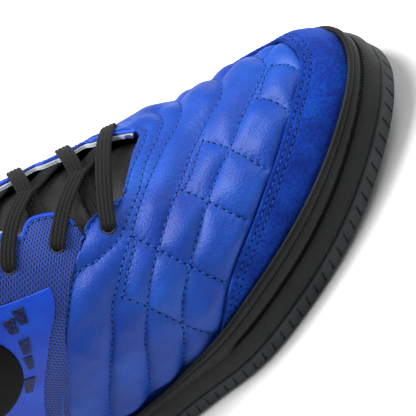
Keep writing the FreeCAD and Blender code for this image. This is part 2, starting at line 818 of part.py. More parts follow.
# ---------------------------------------------------------------- lacing

def hole_stations(side, count=8):
    """Stations of the lace holes, one pitch apart along the row."""
    stations = [FIRST_HOLE[side]]
    station = FIRST_HOLE[side]
    last, _n = on_ring(station, side * edge_holes[side](station))
    while len(stations) < count:
        station -= 0.25
        point, _n = on_ring(station, side * edge_holes[side](station))
        if math.dist(point, last) >= HOLE_PITCH[side]:
            stations.append(station)
            last = point
    return stations


HOLE_PITCH = {-1: size("lace_pitch"), 1: size("lace_pitch") * 1.02}
HOLES = {side: hole_stations(side) for side in (-1, 1)}


def top_station(angle, z):
    """Ring station at which one angle reaches a height on the shaft."""
    low, high = -125.0, -40.0
    for _ in range(18):
        middle = (low + high) / 2
        point, _n = on_ring(middle, angle)
        if point[2] > z:
            low = middle
        else:
            high = middle
    return low


def make_eyestay(side):
    """Lace facing on the outside with punched holes, and a strip behind it."""
    name = SIDE_NAMES[side]
    leather = size("leather")

    def outside(u, v):
        top = top_station(side * 22, size_collar - 1.5)
        station = mix(EYESTAY_FRONT[side], top, v)
        return on_ring(station, side * mix(edge_inner[side](station), edge_outer[side](station), u))

    def inside(u, v):
        top = top_station(side * 22, size_collar - 1.5)
        station = mix(24.0, top, v)
        near = edge_inner[side](station) + 0.6
        return on_ring(station, side * mix(near, edge_outer[side](station) - 8.0, u))

    holes = []
    for station in HOLES[side]:
        point, normal = on_ring(station, side * edge_holes[side](station))
        along = FreeCAD.Vector(*normal)
        start = FreeCAD.Vector(*point) - along * 6.0
        holes.append(Part.makeCylinder(size("hole_radius"), 12.0, start, along))
    for label, place, low, high in (
            ("_eyestay", outside, size("bond"), size("overlay")),
            ("_eyestay_backing", inside, -leather, -0.1)):
        piece = doc.addObject("Part::Feature", name + label)
        solid = panel_solid(place, low, high, 7, 24)
        piece.Shape = solid.cut(Part.makeCompound(holes)).Solids[0]
        keep(piece, name + label)


def lace_strand(start, finish, under_start, raise_mid):
    """One flat run of lace between two holes, each given as side and index."""
    ends = []
    for side, index in (start, finish):
        station = HOLES[side][index]
        ends.append((station, side * edge_holes[side](station)))
    width, thick = size("lace_width"), size("lace_thickness")
    steps = 16

    def centre(share):
        return mix(ends[0][0], ends[1][0], share), mix(ends[0][1], ends[1][1], share)

    def place(u, v):
        station, angle = centre(v)
        ahead, _n = on_ring(*centre(min(v + 0.02, 1)))
        behind, _n = on_ring(*centre(max(v - 0.02, 0)))
        middle, normal = on_ring(station, angle)
        along = [a - b for a, b in zip(ahead, behind)]
        length = math.sqrt(sum(a * a for a in along))
        across = [normal[1] * along[2] - normal[2] * along[1],
                  normal[2] * along[0] - normal[0] * along[2],
                  normal[0] * along[1] - normal[1] * along[0]]
        near_end = min(v, 1 - v)
        half = mix(1.9, width / 2, min(1.0, near_end / 0.09))
        point = [m + a / length * half * (2 * u - 1) for m, a in zip(middle, across)]
        return point, normal

    lifts = []
    for i in range(5):
        row = []
        for j in range(steps + 1):
            share = j / steps
            row.append(strand_lift(share, under_start, raise_mid))
        lifts.append(row)
    hits = grid(place, 4, steps)
    higher = [[value + thick for value in row] for row in lifts]
    return between(sheet_face(hits, lifts), sheet_face(hits, higher))


def smooth_step(low, high, x):
    share = min(1.0, max(0.0, (x - low) / (high - low)))
    return share * share * (3 - 2 * share)


def strand_lift(share, under_start, raise_mid):
    """Underside of a lace run above the skin, from its first hole to its last."""
    over = size("overlay") + 0.25
    under = -size("leather") - 1.75
    dip = -3.2
    if under_start:
        level = mix(under, over, smooth_step(0.3, 0.78, share))
    else:
        level = over + dip * (1 - smooth_step(0.0, 0.08, share))
    level += dip * smooth_step(0.93, 1.0, share)
    hump = math.exp(-((share - 0.5) / 0.09) ** 2)
    return level + raise_mid * hump


def make_lace():
    """Flat lace: a straight bar at the toe end, then crossed runs up to the collar."""
    runs = [lace_strand((-1, 0), (1, 0), False, 0.0)]
    rows = len(HOLES[1])
    for i in range(rows - 1):
        runs.append(lace_strand((1, i), (-1, i + 1), True, 1.1))
        runs.append(lace_strand((-1, i), (1, i + 1), True, -0.9))
    lace = doc.addObject("Part::Feature", "lace")
    lace.Shape = Part.makeCompound(runs)
    keep(lace, "lace")


# ---------------------------------------------------------------- tongue and tab

def make_tongue():
    """Padded tongue under the lacing: outer leather, foam and lining, sewn in at the throat."""
    left = curve_through([(-110, 24), (-80, 27), (-40, 33), (0, 38), (30, 40), (45, 36), (60, 27)])
    right = curve_through([(-110, 24), (-80, 27), (-40, 33), (0, 38), (30, 48), (45, 50), (60, 42)])

    def place(u, v):
        front = vamp_rear(mix(-0.2, 0.31, u)) + 2.5
        station = mix(front, -107.0, v)
        return on_ring(station, mix(-left(station), right(station), u))

    depth = size("tongue_depth")
    add_panel("tongue_leather", place, -depth - 1.2, -depth, 8, 22)
    add_panel("tongue_foam", place, -depth - 5.3, -depth - 1.3, 8, 22)
    add_panel("tongue_lining", place, -depth - 6.2, -depth - 5.4, 8, 22)


def make_pull_tab():
    """Folded webbing loop standing behind the collar."""
    body = doc.addObject("PartDesign::Body", "pull_tab_body")
    plane = [f for f in body.Origin.OriginFeatures if f.Role == "XZ_Plane"][0]
    sketch = body.newObject("Sketcher::SketchObject", "pull_tab_loop")
    sketch.AttachmentSupport = [(plane, "")]
    sketch.MapMode = "FlatFace"
    tall = size("tab_height")
    for radius in (size("tab_depth") / 2, size("tab_depth") / 2 - size("tab_wall")):
        low, high = size("tab_depth") / 2, tall - size("tab_depth") / 2
        up = FreeCAD.Vector(0, 0, 1)
        top = Part.Circle(FreeCAD.Vector(0, high, 0), up, radius)
        bottom = Part.Circle(FreeCAD.Vector(0, low, 0), up, radius)
        sketch.addGeometry(Part.ArcOfCircle(top, 0, math.pi))
        for x, start, end in ((-radius, high, low), (radius, low, high)):
            wall = Part.LineSegment(FreeCAD.Vector(x, start, 0), FreeCAD.Vector(x, end, 0))
            sketch.addGeometry(wall)
        sketch.addGeometry(Part.ArcOfCircle(bottom, math.pi, 2 * math.pi))
    pad = body.newObject("PartDesign::Pad", "pull_tab_pad")
    pad.Profile = sketch
    pad.Midplane = True
    pad.setExpression("Length", "sizes.tab_width")
    (x, _y, _z), _n = on_level(size_collar + 2.6, 180)
    behind = x - size("overlay") - size("tab_depth") / 2 - 0.8
    base = FreeCAD.Vector(behind, LEG_Y, size_collar - 14.0)
    body.Placement = FreeCAD.Placement(base, FreeCAD.Rotation())
    doc.recompute()
    keep(body, "pull_tab")


# ---------------------------------------------------------------- build

make_outsole()
make_sidewall()
make_inner_sole(make_shank())
make_vamp()
make_toe()
for boot_side in (-1, 1):
    make_quarter(boot_side)
    make_tiles(boot_side)
    make_shaft(boot_side)
    make_eyestay(boot_side)
make_collar()
make_heel()
make_lace()
make_tongue()
make_pull_tab()
doc.recompute()

for item in doc.Objects:
    if any(flag in ("Invalid", "Error") for flag in item.State):
        raise RuntimeError("%s failed: %s" % (item.Name, item.State))
faulty = [piece.Label for piece in NODES if piece.Shape.isNull() or not piece.Shape.isValid()]
if faulty:
    raise RuntimeError("no valid shape: " + ", ".join(faulty))

os.makedirs("parts", exist_ok=True)
for piece in NODES:
    piece.Shape.exportStep(os.path.join("parts", piece.Label + ".step"))
    box = piece.Shape.BoundBox
    print("%-24s %9.1f mm3  x %.1f..%.1f  y %.1f..%.1f  z %.1f..%.1f" % (
        piece.Label, piece.Shape.Volume, box.XMin, box.XMax, box.YMin, box.YMax, box.ZMin, box.ZMax))
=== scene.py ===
"""Looks of the boxing boot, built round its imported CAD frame.

Shape code works in millimetres with +X to the toe, +Y medial and +Z up, and turns into metres when
a mesh is made. The upper follows one smooth skin, a foot form run together with a leg form. Every
panel is a closed sheet laid on that skin, with its own relief, edge, stitching and material.
"""
import math

import bpy
import numpy as np
from mathutils import Matrix, Vector
from mathutils.bvhtree import BVHTree


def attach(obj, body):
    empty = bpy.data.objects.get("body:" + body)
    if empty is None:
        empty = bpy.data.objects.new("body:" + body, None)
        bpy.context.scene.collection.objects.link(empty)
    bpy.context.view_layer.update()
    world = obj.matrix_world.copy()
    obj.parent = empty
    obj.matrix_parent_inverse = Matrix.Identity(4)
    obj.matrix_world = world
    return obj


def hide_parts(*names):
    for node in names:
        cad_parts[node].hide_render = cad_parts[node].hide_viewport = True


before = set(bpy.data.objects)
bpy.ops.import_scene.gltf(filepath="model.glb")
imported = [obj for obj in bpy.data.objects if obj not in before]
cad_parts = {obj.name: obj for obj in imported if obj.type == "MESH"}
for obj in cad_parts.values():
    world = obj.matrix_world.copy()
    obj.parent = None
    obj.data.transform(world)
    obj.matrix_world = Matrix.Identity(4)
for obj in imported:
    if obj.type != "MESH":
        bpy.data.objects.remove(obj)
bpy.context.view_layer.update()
MM = 0.001
BOOT = "boot"

# ---------------------------------------------------------------- camera, light and floor

VIEW_AZIMUTH, VIEW_ELEVATION, VIEW_ROLL = 55.76, 33.03, -65.56
VIEW_DISTANCE, VIEW_LENS = 1115.9, 239.8
VIEW_TARGET = np.array([61.4, -3.2, 34.3])


def make_camera():
    """Camera at the product shot's angle: level line rolled, looking down at the toe's outer side."""
    az, el, roll = (math.radians(v) for v in (VIEW_AZIMUTH, VIEW_ELEVATION, VIEW_ROLL))
    back = np.array([math.cos(el) * math.cos(az), -math.cos(el) * math.sin(az), math.sin(el)])
    right = np.cross(-back, [0, 0, 1])
    right /= np.linalg.norm(right)
    up = np.cross(back, right)
    side = math.cos(roll) * right + math.sin(roll) * up
    top = -math.sin(roll) * right + math.cos(roll) * up
    data = bpy.data.cameras.new("camera")
    data.lens = VIEW_LENS
    data.sensor_width = 36.0
    data.clip_start, data.clip_end = 0.05, 20.0
    camera = bpy.data.objects.new("camera", data)
    turned = Matrix((side, top, back)).transposed().to_4x4()
    turned.translation = Vector((VIEW_TARGET + back * VIEW_DISTANCE) * MM)
    camera.matrix_world = turned
    bpy.context.scene.collection.objects.link(camera)
    bpy.context.scene.camera = camera


def area_light(name, place, aim, size, power):
    """Soft square lamp at a place in metres, pointed at aim."""
    data = bpy.data.lights.new(name, "AREA")
    data.size = size
    data.energy = power
    lamp = bpy.data.objects.new(name, data)
    lamp.location = place
    lamp.rotation_euler = (Vector(aim) - Vector(place)).to_track_quat("-Z", "Y").to_euler()
    bpy.context.scene.collection.objects.link(lamp)


WORLD_STRENGTH = 0.3
FLOOR_HALF, FLOOR_Z = 4, -0.0004

# Lamps: name, place and aim in metres, size in metres, power in watts.
LAMPS = [("top_light", (-0.2, 0.2, 1.15), (0.06, 0, 0.03), 0.7, 26.0),
         ("front_light", (1.1, 0.35, 0.6), (0.06, 0, 0.04), 0.7, 8.0)]


def make_studio():
    """White world, two soft lamps and a plain floor."""
    world = bpy.data.worlds.new("studio")
    world.use_nodes = True
    background = world.node_tree.nodes["Background"]
    background.inputs["Color"].default_value = (1, 1, 1, 1)
    background.inputs["Strength"].default_value = WORLD_STRENGTH
    bpy.context.scene.world = world
    bpy.context.scene.view_settings.view_transform = "Standard"
    for lamp in LAMPS:
        area_light(*lamp)
    corners = [(x * FLOOR_HALF, y * FLOOR_HALF, 0) for x, y in ((-1, -1), (1, -1), (1, 1), (-1, 1))]
    mesh = bpy.data.meshes.new("floor")
    mesh.from_pydata(corners, [], [(0, 1, 2, 3)])
    floor = bpy.data.objects.new("floor", mesh)
    floor.location.z = FLOOR_Z
    look = Look("floor_paper", Roughness=0.9)
    mottle = look.noise(look.place(), 6.0)
    look.colour(look.ramp(mottle, [(0.3, "F4F4F4"), (0.7, "FAFAFA")]))
    mesh.materials.append(look.material)
    bpy.context.scene.collection.objects.link(floor)


# ---------------------------------------------------------------- material builder

def tint(code):
    """Linear colour of a six-digit sRGB code."""
    values = [int(code[i:i + 2], 16) / 255 for i in (0, 2, 4)]
    return [v / 12.92 if v <= 0.04045 else ((v + 0.055) / 1.055) ** 2.4 for v in values] + [1.0]


class Look:
    """One procedural material round a Principled shader."""

    def __init__(self, name, **fixed):
        self.material = bpy.data.materials.new(name)
        self.material.use_nodes = True
        self.tree = self.material.node_tree
        self.shader = self.tree.nodes["Principled BSDF"]
        for socket, value in fixed.items():
            self.shader.inputs[socket.replace("_", " ")].default_value = value

    def feed(self, socket, value):
        if isinstance(value, bpy.types.NodeSocket):
            self.tree.links.new(value, socket)
        else:
            socket.default_value = value

    def add(self, kind, inputs=None, **settings):
        node = self.tree.nodes.new("ShaderNode" + kind)
        for key, value in settings.items():
            setattr(node, key, value)
        for key, value in (inputs or {}).items():
            self.feed(node.inputs[key], value)
        return node

    def place(self):
        return self.add("TexCoord").outputs["Object"]

    def flat(self):
        """Position on the panel, in metres across and along it."""
        return self.add("UVMap", uv_map="panel").outputs["UV"]

    def noise(self, where, scale, detail=2.0, roughness=0.5):
        made = self.add("TexNoise", {"Vector": where, "Scale": scale, "Detail": detail,
                                     "Roughness": roughness})
        return made.outputs["Fac"]

    def cells(self, where, scale, feature="F1"):
        return self.add("TexVoronoi", {"Vector": where, "Scale": scale}, feature=feature).outputs[0]

    def waves(self, where, pitch, direction="X"):
        """Smooth bands, one every pitch in millimetres."""
        made = self.add("TexWave", {"Vector": where, "Scale": WAVE / (pitch * MM)},
                        bands_direction=direction)
        return made.outputs["Fac"]

    def weave(self):
        """Two crossed sets of bands on the panel, high at the openings between threads."""
        flat = self.turned(self.flat(), 45)
        return self.combine("MULTIPLY", self.waves(flat, WEAVE), self.waves(flat, WEAVE, "Y"))

    def combine(self, kind, a, b):
        made = self.add("Math", operation=kind)
        self.feed(made.inputs[0], a)
        self.feed(made.inputs[1], b)
        return made.outputs[0]

    def turned(self, where, degrees, scale=(1, 1, 1)):
        made = self.add("Mapping", {"Vector": where, "Scale": scale})
        made.inputs["Rotation"].default_value = (0, 0, math.radians(degrees))
        return made.outputs[0]

    def ramp(self, value, stops):
        made = self.add("ValToRGB", {"Fac": value})
        elements = made.color_ramp.elements
        while len(elements) < len(stops):
            elements.new(0.5)
        for element, (at, code) in zip(elements, stops):
            element.position = at
            element.color = tint(code) if isinstance(code, str) else (code, code, code, 1)
        return made.outputs["Color"]

    def times(self, first, second):
        """Product of two colours."""
        made = self.add("MixRGB", blend_type="MULTIPLY")
        self.feed(made.inputs[0], 1.0)
        self.feed(made.inputs[1], first)
        self.feed(made.inputs[2], second)
        return made.outputs[0]

    def colour(self, value):
        self.feed(self.shader.inputs["Base Color"], value)

    def rough(self, value, low, high):
        self.feed(self.shader.inputs["Roughness"], self.ramp(value, [(0.25, low), (0.75, high)]))

    def bump(self, *layers):
        """Relief from height layers, each (height, depth in mm, strength)."""
        normal = None
        for height, depth, strength in layers:
            inputs = {"Height": height, "Distance": depth * MM, "Strength": strength}
            if normal is not None:
                inputs["Normal"] = normal
            normal = self.add("Bump", inputs).outputs[0]
        self.feed(self.shader.inputs["Normal"], normal)


# ---------------------------------------------------------------- materials

# Scale of a wave texture whose bands repeat once in a unit, and the mesh's thread spacing.
WAVE = 0.314
WEAVE = 1.25


def leather(name, dark, middle, light, grain, depth, rough, shine):
    """Coated leather: pebble grain, soft tone changes, and painted shade in the dips between the
    pebbles, which leaves their tops lighter.
    """
    look = Look(name, Specular_IOR_Level=shine, Coat_Weight=0.1 * shine, Coat_Roughness=0.35)
    where = look.place()
    tone = look.noise(where, 38.0, 3.0)
    pebbles = look.cells(where, 1 / (grain * MM), "SMOOTH_F1")
    creases = look.noise(where, 2.2 / (grain * MM), 3.0, 0.6)
    base = look.ramp(tone, [(0.3, dark), (0.52, middle), (0.74, light)])
    # painted shade: the dips between the pebbles are darkened in the colour, so the pebble tops read
    # as lit
    shade = look.ramp(pebbles, [(0.05, 1.0), (0.75, 0.8)])
    look.colour(look.times(base, shade))
    look.rough(creases, *rough)
    look.bump((pebbles, -depth, 0.6), (creases, depth * 0.2, 0.4))
    return look.material


def suede(name):
    """Deep blue suede with brushed nap: light and dark flecks over a slow mottling."""
    look = Look(name, Roughness=0.95, Specular_IOR_Level=0.15, Sheen_Weight=0.25,
                Sheen_Roughness=0.45)
    look.shader.inputs["Sheen Tint"].default_value = tint("7FA8FF")
    where = look.place()
    slow = look.noise(where, 90.0, 3.0)
    flecks = look.noise(where, 900.0, 3.0, 0.7)
    nap = look.noise(look.turned(where, 25, (1, 0.45, 1)), 2100.0, 2.0, 0.6)
    base = look.ramp(slow, [(0.3, "05257A"), (0.5, "08308E"), (0.72, "0C40A3")])
    shade = look.ramp(flecks, [(0.3, 0.5), (0.5, 0.92), (0.72, 1.45)])
    look.colour(look.times(base, shade))
    look.bump((flecks, 0.25, 0.6), (nap, 0.2, 0.6))
    return look.material


def mesh_fabric(name):
    """Royal blue warp knit: staggered dark openings between twisted threads."""
    look = Look(name, Roughness=0.7, Specular_IOR_Level=0.3, Sheen_Weight=0.12)
    openings = look.weave()
    thread = look.noise(look.place(), 3000.0)
    slow = look.noise(look.place(), 60.0)
    base = look.ramp(slow, [(0.35, "123794"), (0.65, "1841A2")])
    dark = look.ramp(openings, [(0.16, 1.0), (0.42, 0.04)])
    twist = look.ramp(thread, [(0.3, 0.8), (0.7, 1.15)])
    look.colour(look.times(look.times(base, dark), twist))
    look.rough(thread, 0.6, 0.8)
    look.bump((openings, -0.35, 0.9), (thread, 0.08, 0.5))
    return look.material


def film_skin(name):
    """Thin smooth film fused on the mesh, whose weave still shows faintly through it."""
    look = Look(name, Specular_IOR_Level=0.28)
    weave = look.weave()
    slow = look.noise(look.place(), 50.0, 3.0)
    fine = look.noise(look.place(), 1500.0)
    base = look.ramp(slow, [(0.3, "0A37AC"), (0.5, "0E42BC"), (0.7, "144FCA")])
    look.colour(look.times(base, look.ramp(weave, [(0.3, 1.0), (0.8, 0.86)])))
    look.rough(fine, 0.4, 0.55)
    look.bump((weave, -0.12, 0.5), (fine, 0.03, 0.4))
    return look.material


def rubber(name, dark, light, ribs=None, rough=(0.5, 0.68)):
    """Moulded rubber: faint mould texture, scuffed tone, and fine ribs where ribs is a lean, with
    painted highlights on the rib crests and painted shade in their troughs.
    """
    look = Look(name, Specular_IOR_Level=0.2)
    where = look.place()
    slow = look.noise(where, 55.0, 4.0, 0.6)
    fine = look.noise(where, 1800.0, 3.0)
    base = look.ramp(slow, [(0.3, dark), (0.72, light)])
    layers = [(fine, 0.05, 0.5)]
    if ribs is not None:
        lines = look.waves(look.turned(look.flat(), ribs), 1.2)
        # painted light and shade: the rib crests are lightened and the troughs darkened in the colour
        base = look.times(base, look.ramp(lines, [(0.2, 0.72), (0.8, 1.2)]))
        layers.insert(0, (lines, 0.14, 0.75))
    look.colour(base)
    look.rough(fine, *rough)
    look.bump(*layers)
    return look.material


def braid(name, dark, light, pitch):
    """Woven braid: chevrons of yarn across the width with fuzz on top."""
    look = Look(name, Roughness=0.8, Specular_IOR_Level=0.15, Sheen_Weight=0.03)
    flat = look.flat()
    right = look.waves(look.turned(flat, 38), pitch)
    left = look.waves(look.turned(flat, -38), pitch)
    yarn = look.combine("MAXIMUM", right, left)
    fuzz = look.noise(look.place(), 2600.0, 3.0, 0.6)
    look.colour(look.times(look.ramp(yarn, [(0.35, dark), (0.95, light)]),
                           look.ramp(fuzz, [(0.3, 0.75), (0.7, 1.2)])))
    look.rough(fuzz, 0.7, 0.9)
    look.bump((yarn, 0.22, 0.9), (fuzz, 0.06, 0.5))
    return look.material


def cloth(name, dark, light, thread):
    """Plain close-woven or knitted cloth."""
    look = Look(name, Roughness=0.85, Specular_IOR_Level=0.15, Sheen_Weight=0.05)
    where = look.place()
    weave = look.cells(where, 1 / (thread * MM))
    slow = look.noise(where, 70.0, 3.0)
    look.colour(look.times(look.ramp(slow, [(0.3, dark), (0.7, light)]),
                           look.ramp(weave, [(0.1, 1.15), (0.8, 0.7)])))
    look.rough(slow, 0.78, 0.92)
    look.bump((weave, -0.18, 0.8))
    return look.material


def board_stock(name, dark, light, metallic, rough, scale):
    """Fibre board, foam, cut leather or brushed steel, with a drawn-out grain."""
    look = Look(name, Metallic=metallic)
    where = look.place()
    grain = look.noise(look.turned(where, 0, (1, 4, 1)), scale, 4.0, 0.65)
    look.colour(look.ramp(grain, [(0.3, dark), (0.7, light)]))
    look.rough(grain, *rough)
    look.bump((grain, 0.1, 0.6))
    return look.material


def speckled(name, dark, speck):
    """Moulded tile film: near-black navy with fine blue specks."""
    look = Look(name, Specular_IOR_Level=0.25)
    where = look.place()
    specks = look.noise(where, 1500.0, 2.0, 0.7)
    look.colour(look.ramp(specks, [(0.5, dark), (0.66, speck)]))
    look.rough(specks, 0.4, 0.6)
    look.bump((specks, 0.08, 0.5))
    return look.material


# ---------------------------------------------------------------- the smooth skin

def curve_through(stations):
    """Smooth value through given stations, flat beyond both ends."""
    at = np.array([p[0] for p in stations], float)
    val = np.array([p[1] for p in stations], float)
    gap, rise = np.diff(at), np.diff(val) / np.diff(at)
    slope = np.full(len(at), rise[0])
    if len(at) > 2:
        slope[1:-1] = (rise[:-1] * gap[1:] + rise[1:] * gap[:-1]) / (gap[:-1] + gap[1:])
        slope[0] = 1.5 * rise[0] - 0.5 * slope[1]
        slope[-1] = 1.5 * rise[-1] - 0.5 * slope[-2]
    fine = np.linspace(at[0], at[-1], 2400)
    i = np.clip(np.searchsorted(at, fine) - 1, 0, len(gap) - 1)
    t = (fine - at[i]) / gap[i]
    values = ((2 * t - 3) * t * t + 1) * val[i] + ((t - 2) * t + 1) * t * gap[i] * slope[i]
    values += (3 - 2 * t) * t * t * val[i + 1] + (t - 1) * t * t * gap[i] * slope[i + 1]
    return lambda x: np.interp(x, fine, values)


def vec(*parts):
    return np.stack(np.broadcast_arrays(*parts), axis=-1).astype(float)


def unit(vectors):
    """Vectors scaled to length 1."""
    return vectors / np.maximum(np.linalg.norm(vectors, axis=-1, keepdims=True), 1e-9)


def run_length(points):
    """Distance along a line of points, 0 at its start."""
    return np.concatenate([[0], np.cumsum(np.linalg.norm(np.diff(points, axis=0), axis=1))])


def mix(a, b, share):
    return a + (b - a) * share


def smooth_step(low, high, x):
    share = np.clip((x - low) / (high - low), 0, 1)
    return share * share * (3 - 2 * share)


HEEL_X, TOE_X = -147.25, 147.25
WIDEST_Z, UNDERSIDE, LEG_Y = 24.0, 16.0, 2.0
FAN_X, FAN_Z, FAN_STEP = 35.0, 235.0, 0.5
TUCK_Z, RIM_INSET = 14.3, 18.0
TOE_LIFT, TOE_LIFT_START = 8.4, 70.0
COLLAR_Z = 198.0
FOOT_ROUND, SOLE_SQUARE, LEG_ROUND = 2.15, 5, 2.2
LEAST_SPREAD = 18.0
RAY_LENGTH, HALVINGS = 150.0, 21
LEAN_HALF, LEAN_STEPS, LEAN_SPREAD, LEAN_WINDOW = 0.62, 621, 0.03, 45

medial_edge = curve_through(
    [(-147.25, 3), (-145.5, 14), (-139.5, 24), (-128, 31.5), (-111, 35.5), (-82, 36.5),
     (-38, 36.5), (10, 43), (45, 52.35), (72, 53.15), (98, 48.6), (118, 42.5), (132, 38),
     (141, 28.5), (145.5, 18.5), (147.25, 9.5)])
lateral_edge = curve_through(
    [(-147.25, 3), (-145.5, -8), (-139.5, -18), (-128, -26), (-111, -31), (-82, -34.5),
     (-38, -41), (10, -49.5), (45, -53.35), (72, -47.6), (98, -38.3), (118, -27.2),
     (132, -16), (141, -6.1), (145.5, 2.3), (147.25, 9.5)])
foot_top = curve_through(
    [(-147.5, 44), (-141, 58), (-126, 72), (-105, 84), (-60, 97), (-12, 106), (20, 101),
     (40, 88), (60, 73), (80, 61.5), (100, 55.5), (116, 50.5), (128, 45.8), (138, 39.5),
     (144, 32), (147, 24)])
leg_back = curve_through(
    [(10, -146.2), (20, -147.2), (40, -148.2), (60, -146.8), (90, -140.5), (110, -137.5),
     (130, -136.5), (150, -137.5), (175, -140), (205, -144)])
leg_front = curve_through(
    [(10, -5), (60, -5), (90, -8), (110, -15), (130, -21), (150, -26), (175, -29), (205, -31)])
leg_breadth = curve_through(
    [(10, 31.5), (40, 34), (60, 34.5), (90, 35.5), (110, 36.5), (130, 36.5), (150, 36.5),
     (175, 38.5), (205, 41.5)])
blend_width = curve_through([(-100, 8), (-5, 34)])
foot_inset = curve_through([(-147, 34), (-132, 14), (-105, 5), (-30, 0)])
ring_centre_z = curve_through([(35, 50), (70, 40), (110, 33), (135, 30), (144, 26)])
ring_reach = curve_through(
    [(0, 185), (15, 178), (30, 172), (40, 166), (45, 162), (50, 152), (60, 134), (75, 120),
     (89, 116)])
ring_y = curve_through([(0, -0.3), (15, 0), (30, 1.5), (45, 2), (89, 2)])


def foot_field(x, y, z):
    """Signed measure of the foot form: negative inside, about millimetres near its skin."""
    inner, outer = medial_edge(x), lateral_edge(x)
    half = np.maximum((inner - outer) / 2, 0.5)
    across = np.abs(y - (inner + outer) / 2) / half
    height = np.maximum(foot_top(x) - WIDEST_Z, 1.0)
    up = np.maximum(z - WIDEST_Z, 0) / height
    down = np.maximum(WIDEST_Z - z, 0) / UNDERSIDE
    above = (across ** FOOT_ROUND + up ** FOOT_ROUND) ** (1 / FOOT_ROUND)
    below = (across ** SOLE_SQUARE + down ** SOLE_SQUARE) ** (1 / SOLE_SQUARE)
    reach = np.where(z > WIDEST_Z, above, below)
    spread = np.maximum(LEAST_SPREAD, np.minimum(half, height + 8))
    value = (reach - 1) * spread + foot_inset(x)
    beyond = np.maximum(HEEL_X - x, x - TOE_X)
    return np.where(beyond > 0, np.maximum(value, 0) + beyond, value)


def leg_field(x, y, z):
    """Signed measure of the leg form, an upright tube with oval sections."""
    front, back, breadth = leg_front(z), leg_back(z), leg_breadth(z)
    along = np.abs(x - (front + back) / 2) / ((front - back) / 2)
    across = np.abs(y - LEG_Y) / breadth
    return ((along ** LEG_ROUND + across ** LEG_ROUND) ** (1 / LEG_ROUND) - 1) * breadth


def field(p):
    """Signed measure of the whole upper: both forms, run together smoothly."""
    x, y, z = p[..., 0], p[..., 1], p[..., 2]
    foot, leg, width = foot_field(x, y, z), leg_field(x, y, z), blend_width(x)
    share = np.clip(0.5 + 0.5 * (leg - foot) / width, 0, 1)
    return leg * (1 - share) + foot * share - width * share * (1 - share)


def outward(points):
    """Unit normals of the skin."""
    step = 0.3
    slopes = [field(points + axis) - field(points - axis) for axis in np.eye(3) * step]
    return unit(np.stack(slopes, axis=-1))


def shoot(start, ray):
    """Where rays from inside the upper meet its skin, with the normals there."""
    near, far = np.zeros(start.shape[:-1]), np.full(start.shape[:-1], RAY_LENGTH)
    for _ in range(HALVINGS):
        middle = (near + far) / 2
        inside = field(start + ray * middle[..., None]) < 0
        near, far = np.where(inside, middle, near), np.where(inside, far, middle)
    points = start + ray * near[..., None]
    return points, outward(points)


def on_ring(station, angle):
    """Skin at a cross-section ring: angle 0 on top, + medial, - lateral.

    Stations ahead of FAN_X are upright sections at that x; behind it they fan out about an
    axis over the instep, half a degree a station, and lie level at the collar.
    """
    station, angle = np.broadcast_arrays(np.asarray(station, float), np.asarray(angle, float))
    degrees = np.clip((FAN_X - station) * FAN_STEP, 0, 89.0)
    tilt, turn, reach = np.radians(degrees), np.radians(angle), ring_reach(degrees)
    upright = station >= FAN_X
    x = np.where(upright, station, FAN_X - reach * np.sin(tilt))
    y = np.where(upright, (medial_edge(station) + lateral_edge(station)) / 2, ring_y(degrees))
    z = np.where(upright, ring_centre_z(station), FAN_Z - reach * np.cos(tilt))
    ray = vec(np.sin(tilt) * np.cos(turn), np.sin(turn), np.cos(tilt) * np.cos(turn))
    return shoot(vec(x, y, z), ray)


def on_level(z, angle):
    """Skin at one height round the leg: angle 0 in front, + medial, 180 at the back."""
    z, turn = np.broadcast_arrays(np.asarray(z, float), np.radians(angle))
    start = vec((leg_front(z) + leg_back(z)) / 2, LEG_Y, z)
    return shoot(start, vec(np.cos(turn), np.sin(turn), 0.0))


def on_side(x, z, side):
    """Skin straight out from the middle plane."""
    start = vec(x, LEG_Y, z)
    return shoot(start, np.broadcast_to([0.0, side, 0.0], start.shape))


def spring(x):
    """How far the toe end of the sole curves up."""
    return TOE_LIFT * (np.maximum(0.0, x - TOE_LIFT_START) / 80.0) ** 2


def tuck_angles(side):
    """Ring angle at which the skin is tucked into the sole, tabled by station."""
    stations = np.arange(-130.0, 147.5, 1.5)
    low, high = np.full(stations.shape, 60.0), np.full(stations.shape, 180.0)
    for _ in range(16):
        middle = (low + high) / 2
        points, _normals = on_ring(stations, side * middle)
        above = points[..., 2] > TUCK_Z + spring(points[..., 0])
        low, high = np.where(above, middle, low), np.where(above, high, middle)
    return lambda station: np.interp(station, stations, low)


feather = {side: tuck_angles(side) for side in (-1, 1)}


def by_share(station, share):
    """Ring point whose angle is a share of the way down to the tuck line."""
    station, share = np.broadcast_arrays(np.asarray(station, float), np.asarray(share, float))
    return on_ring(station, share * np.where(share >= 0, feather[1](station), feather[-1](station)))


def rim_point(turn):
    """Plan point and outward direction on the outline: turn 0 at the toe tip, 1 at the heel."""
    turn = np.asarray(turn, float)
    side, share = np.where(turn >= 0, 1.0, -1.0), np.abs(turn)

    def edge(x):
        return np.where(side > 0, medial_edge(x), lateral_edge(x))

    def along(s):
        return TOE_X - (TOE_X - HEEL_X) * (1 - np.cos(np.pi * s)) / 2

    x, step = along(share), 0.004
    before, after = along(np.maximum(share - step, 0)), along(np.minimum(share + step, 1))
    dx, dy = after - before, edge(after) - edge(before)
    tip = share < step
    dx, dy = np.where(tip, 0.0, dx), np.where(tip, side, dy)
    length = np.hypot(dx, dy)
    out = vec(side * dy / length, -side * dx / length)
    out = np.where((share > 1 - step)[..., None], np.array([-1.0, 0.0]), out)
    return vec(x, edge(x)), out


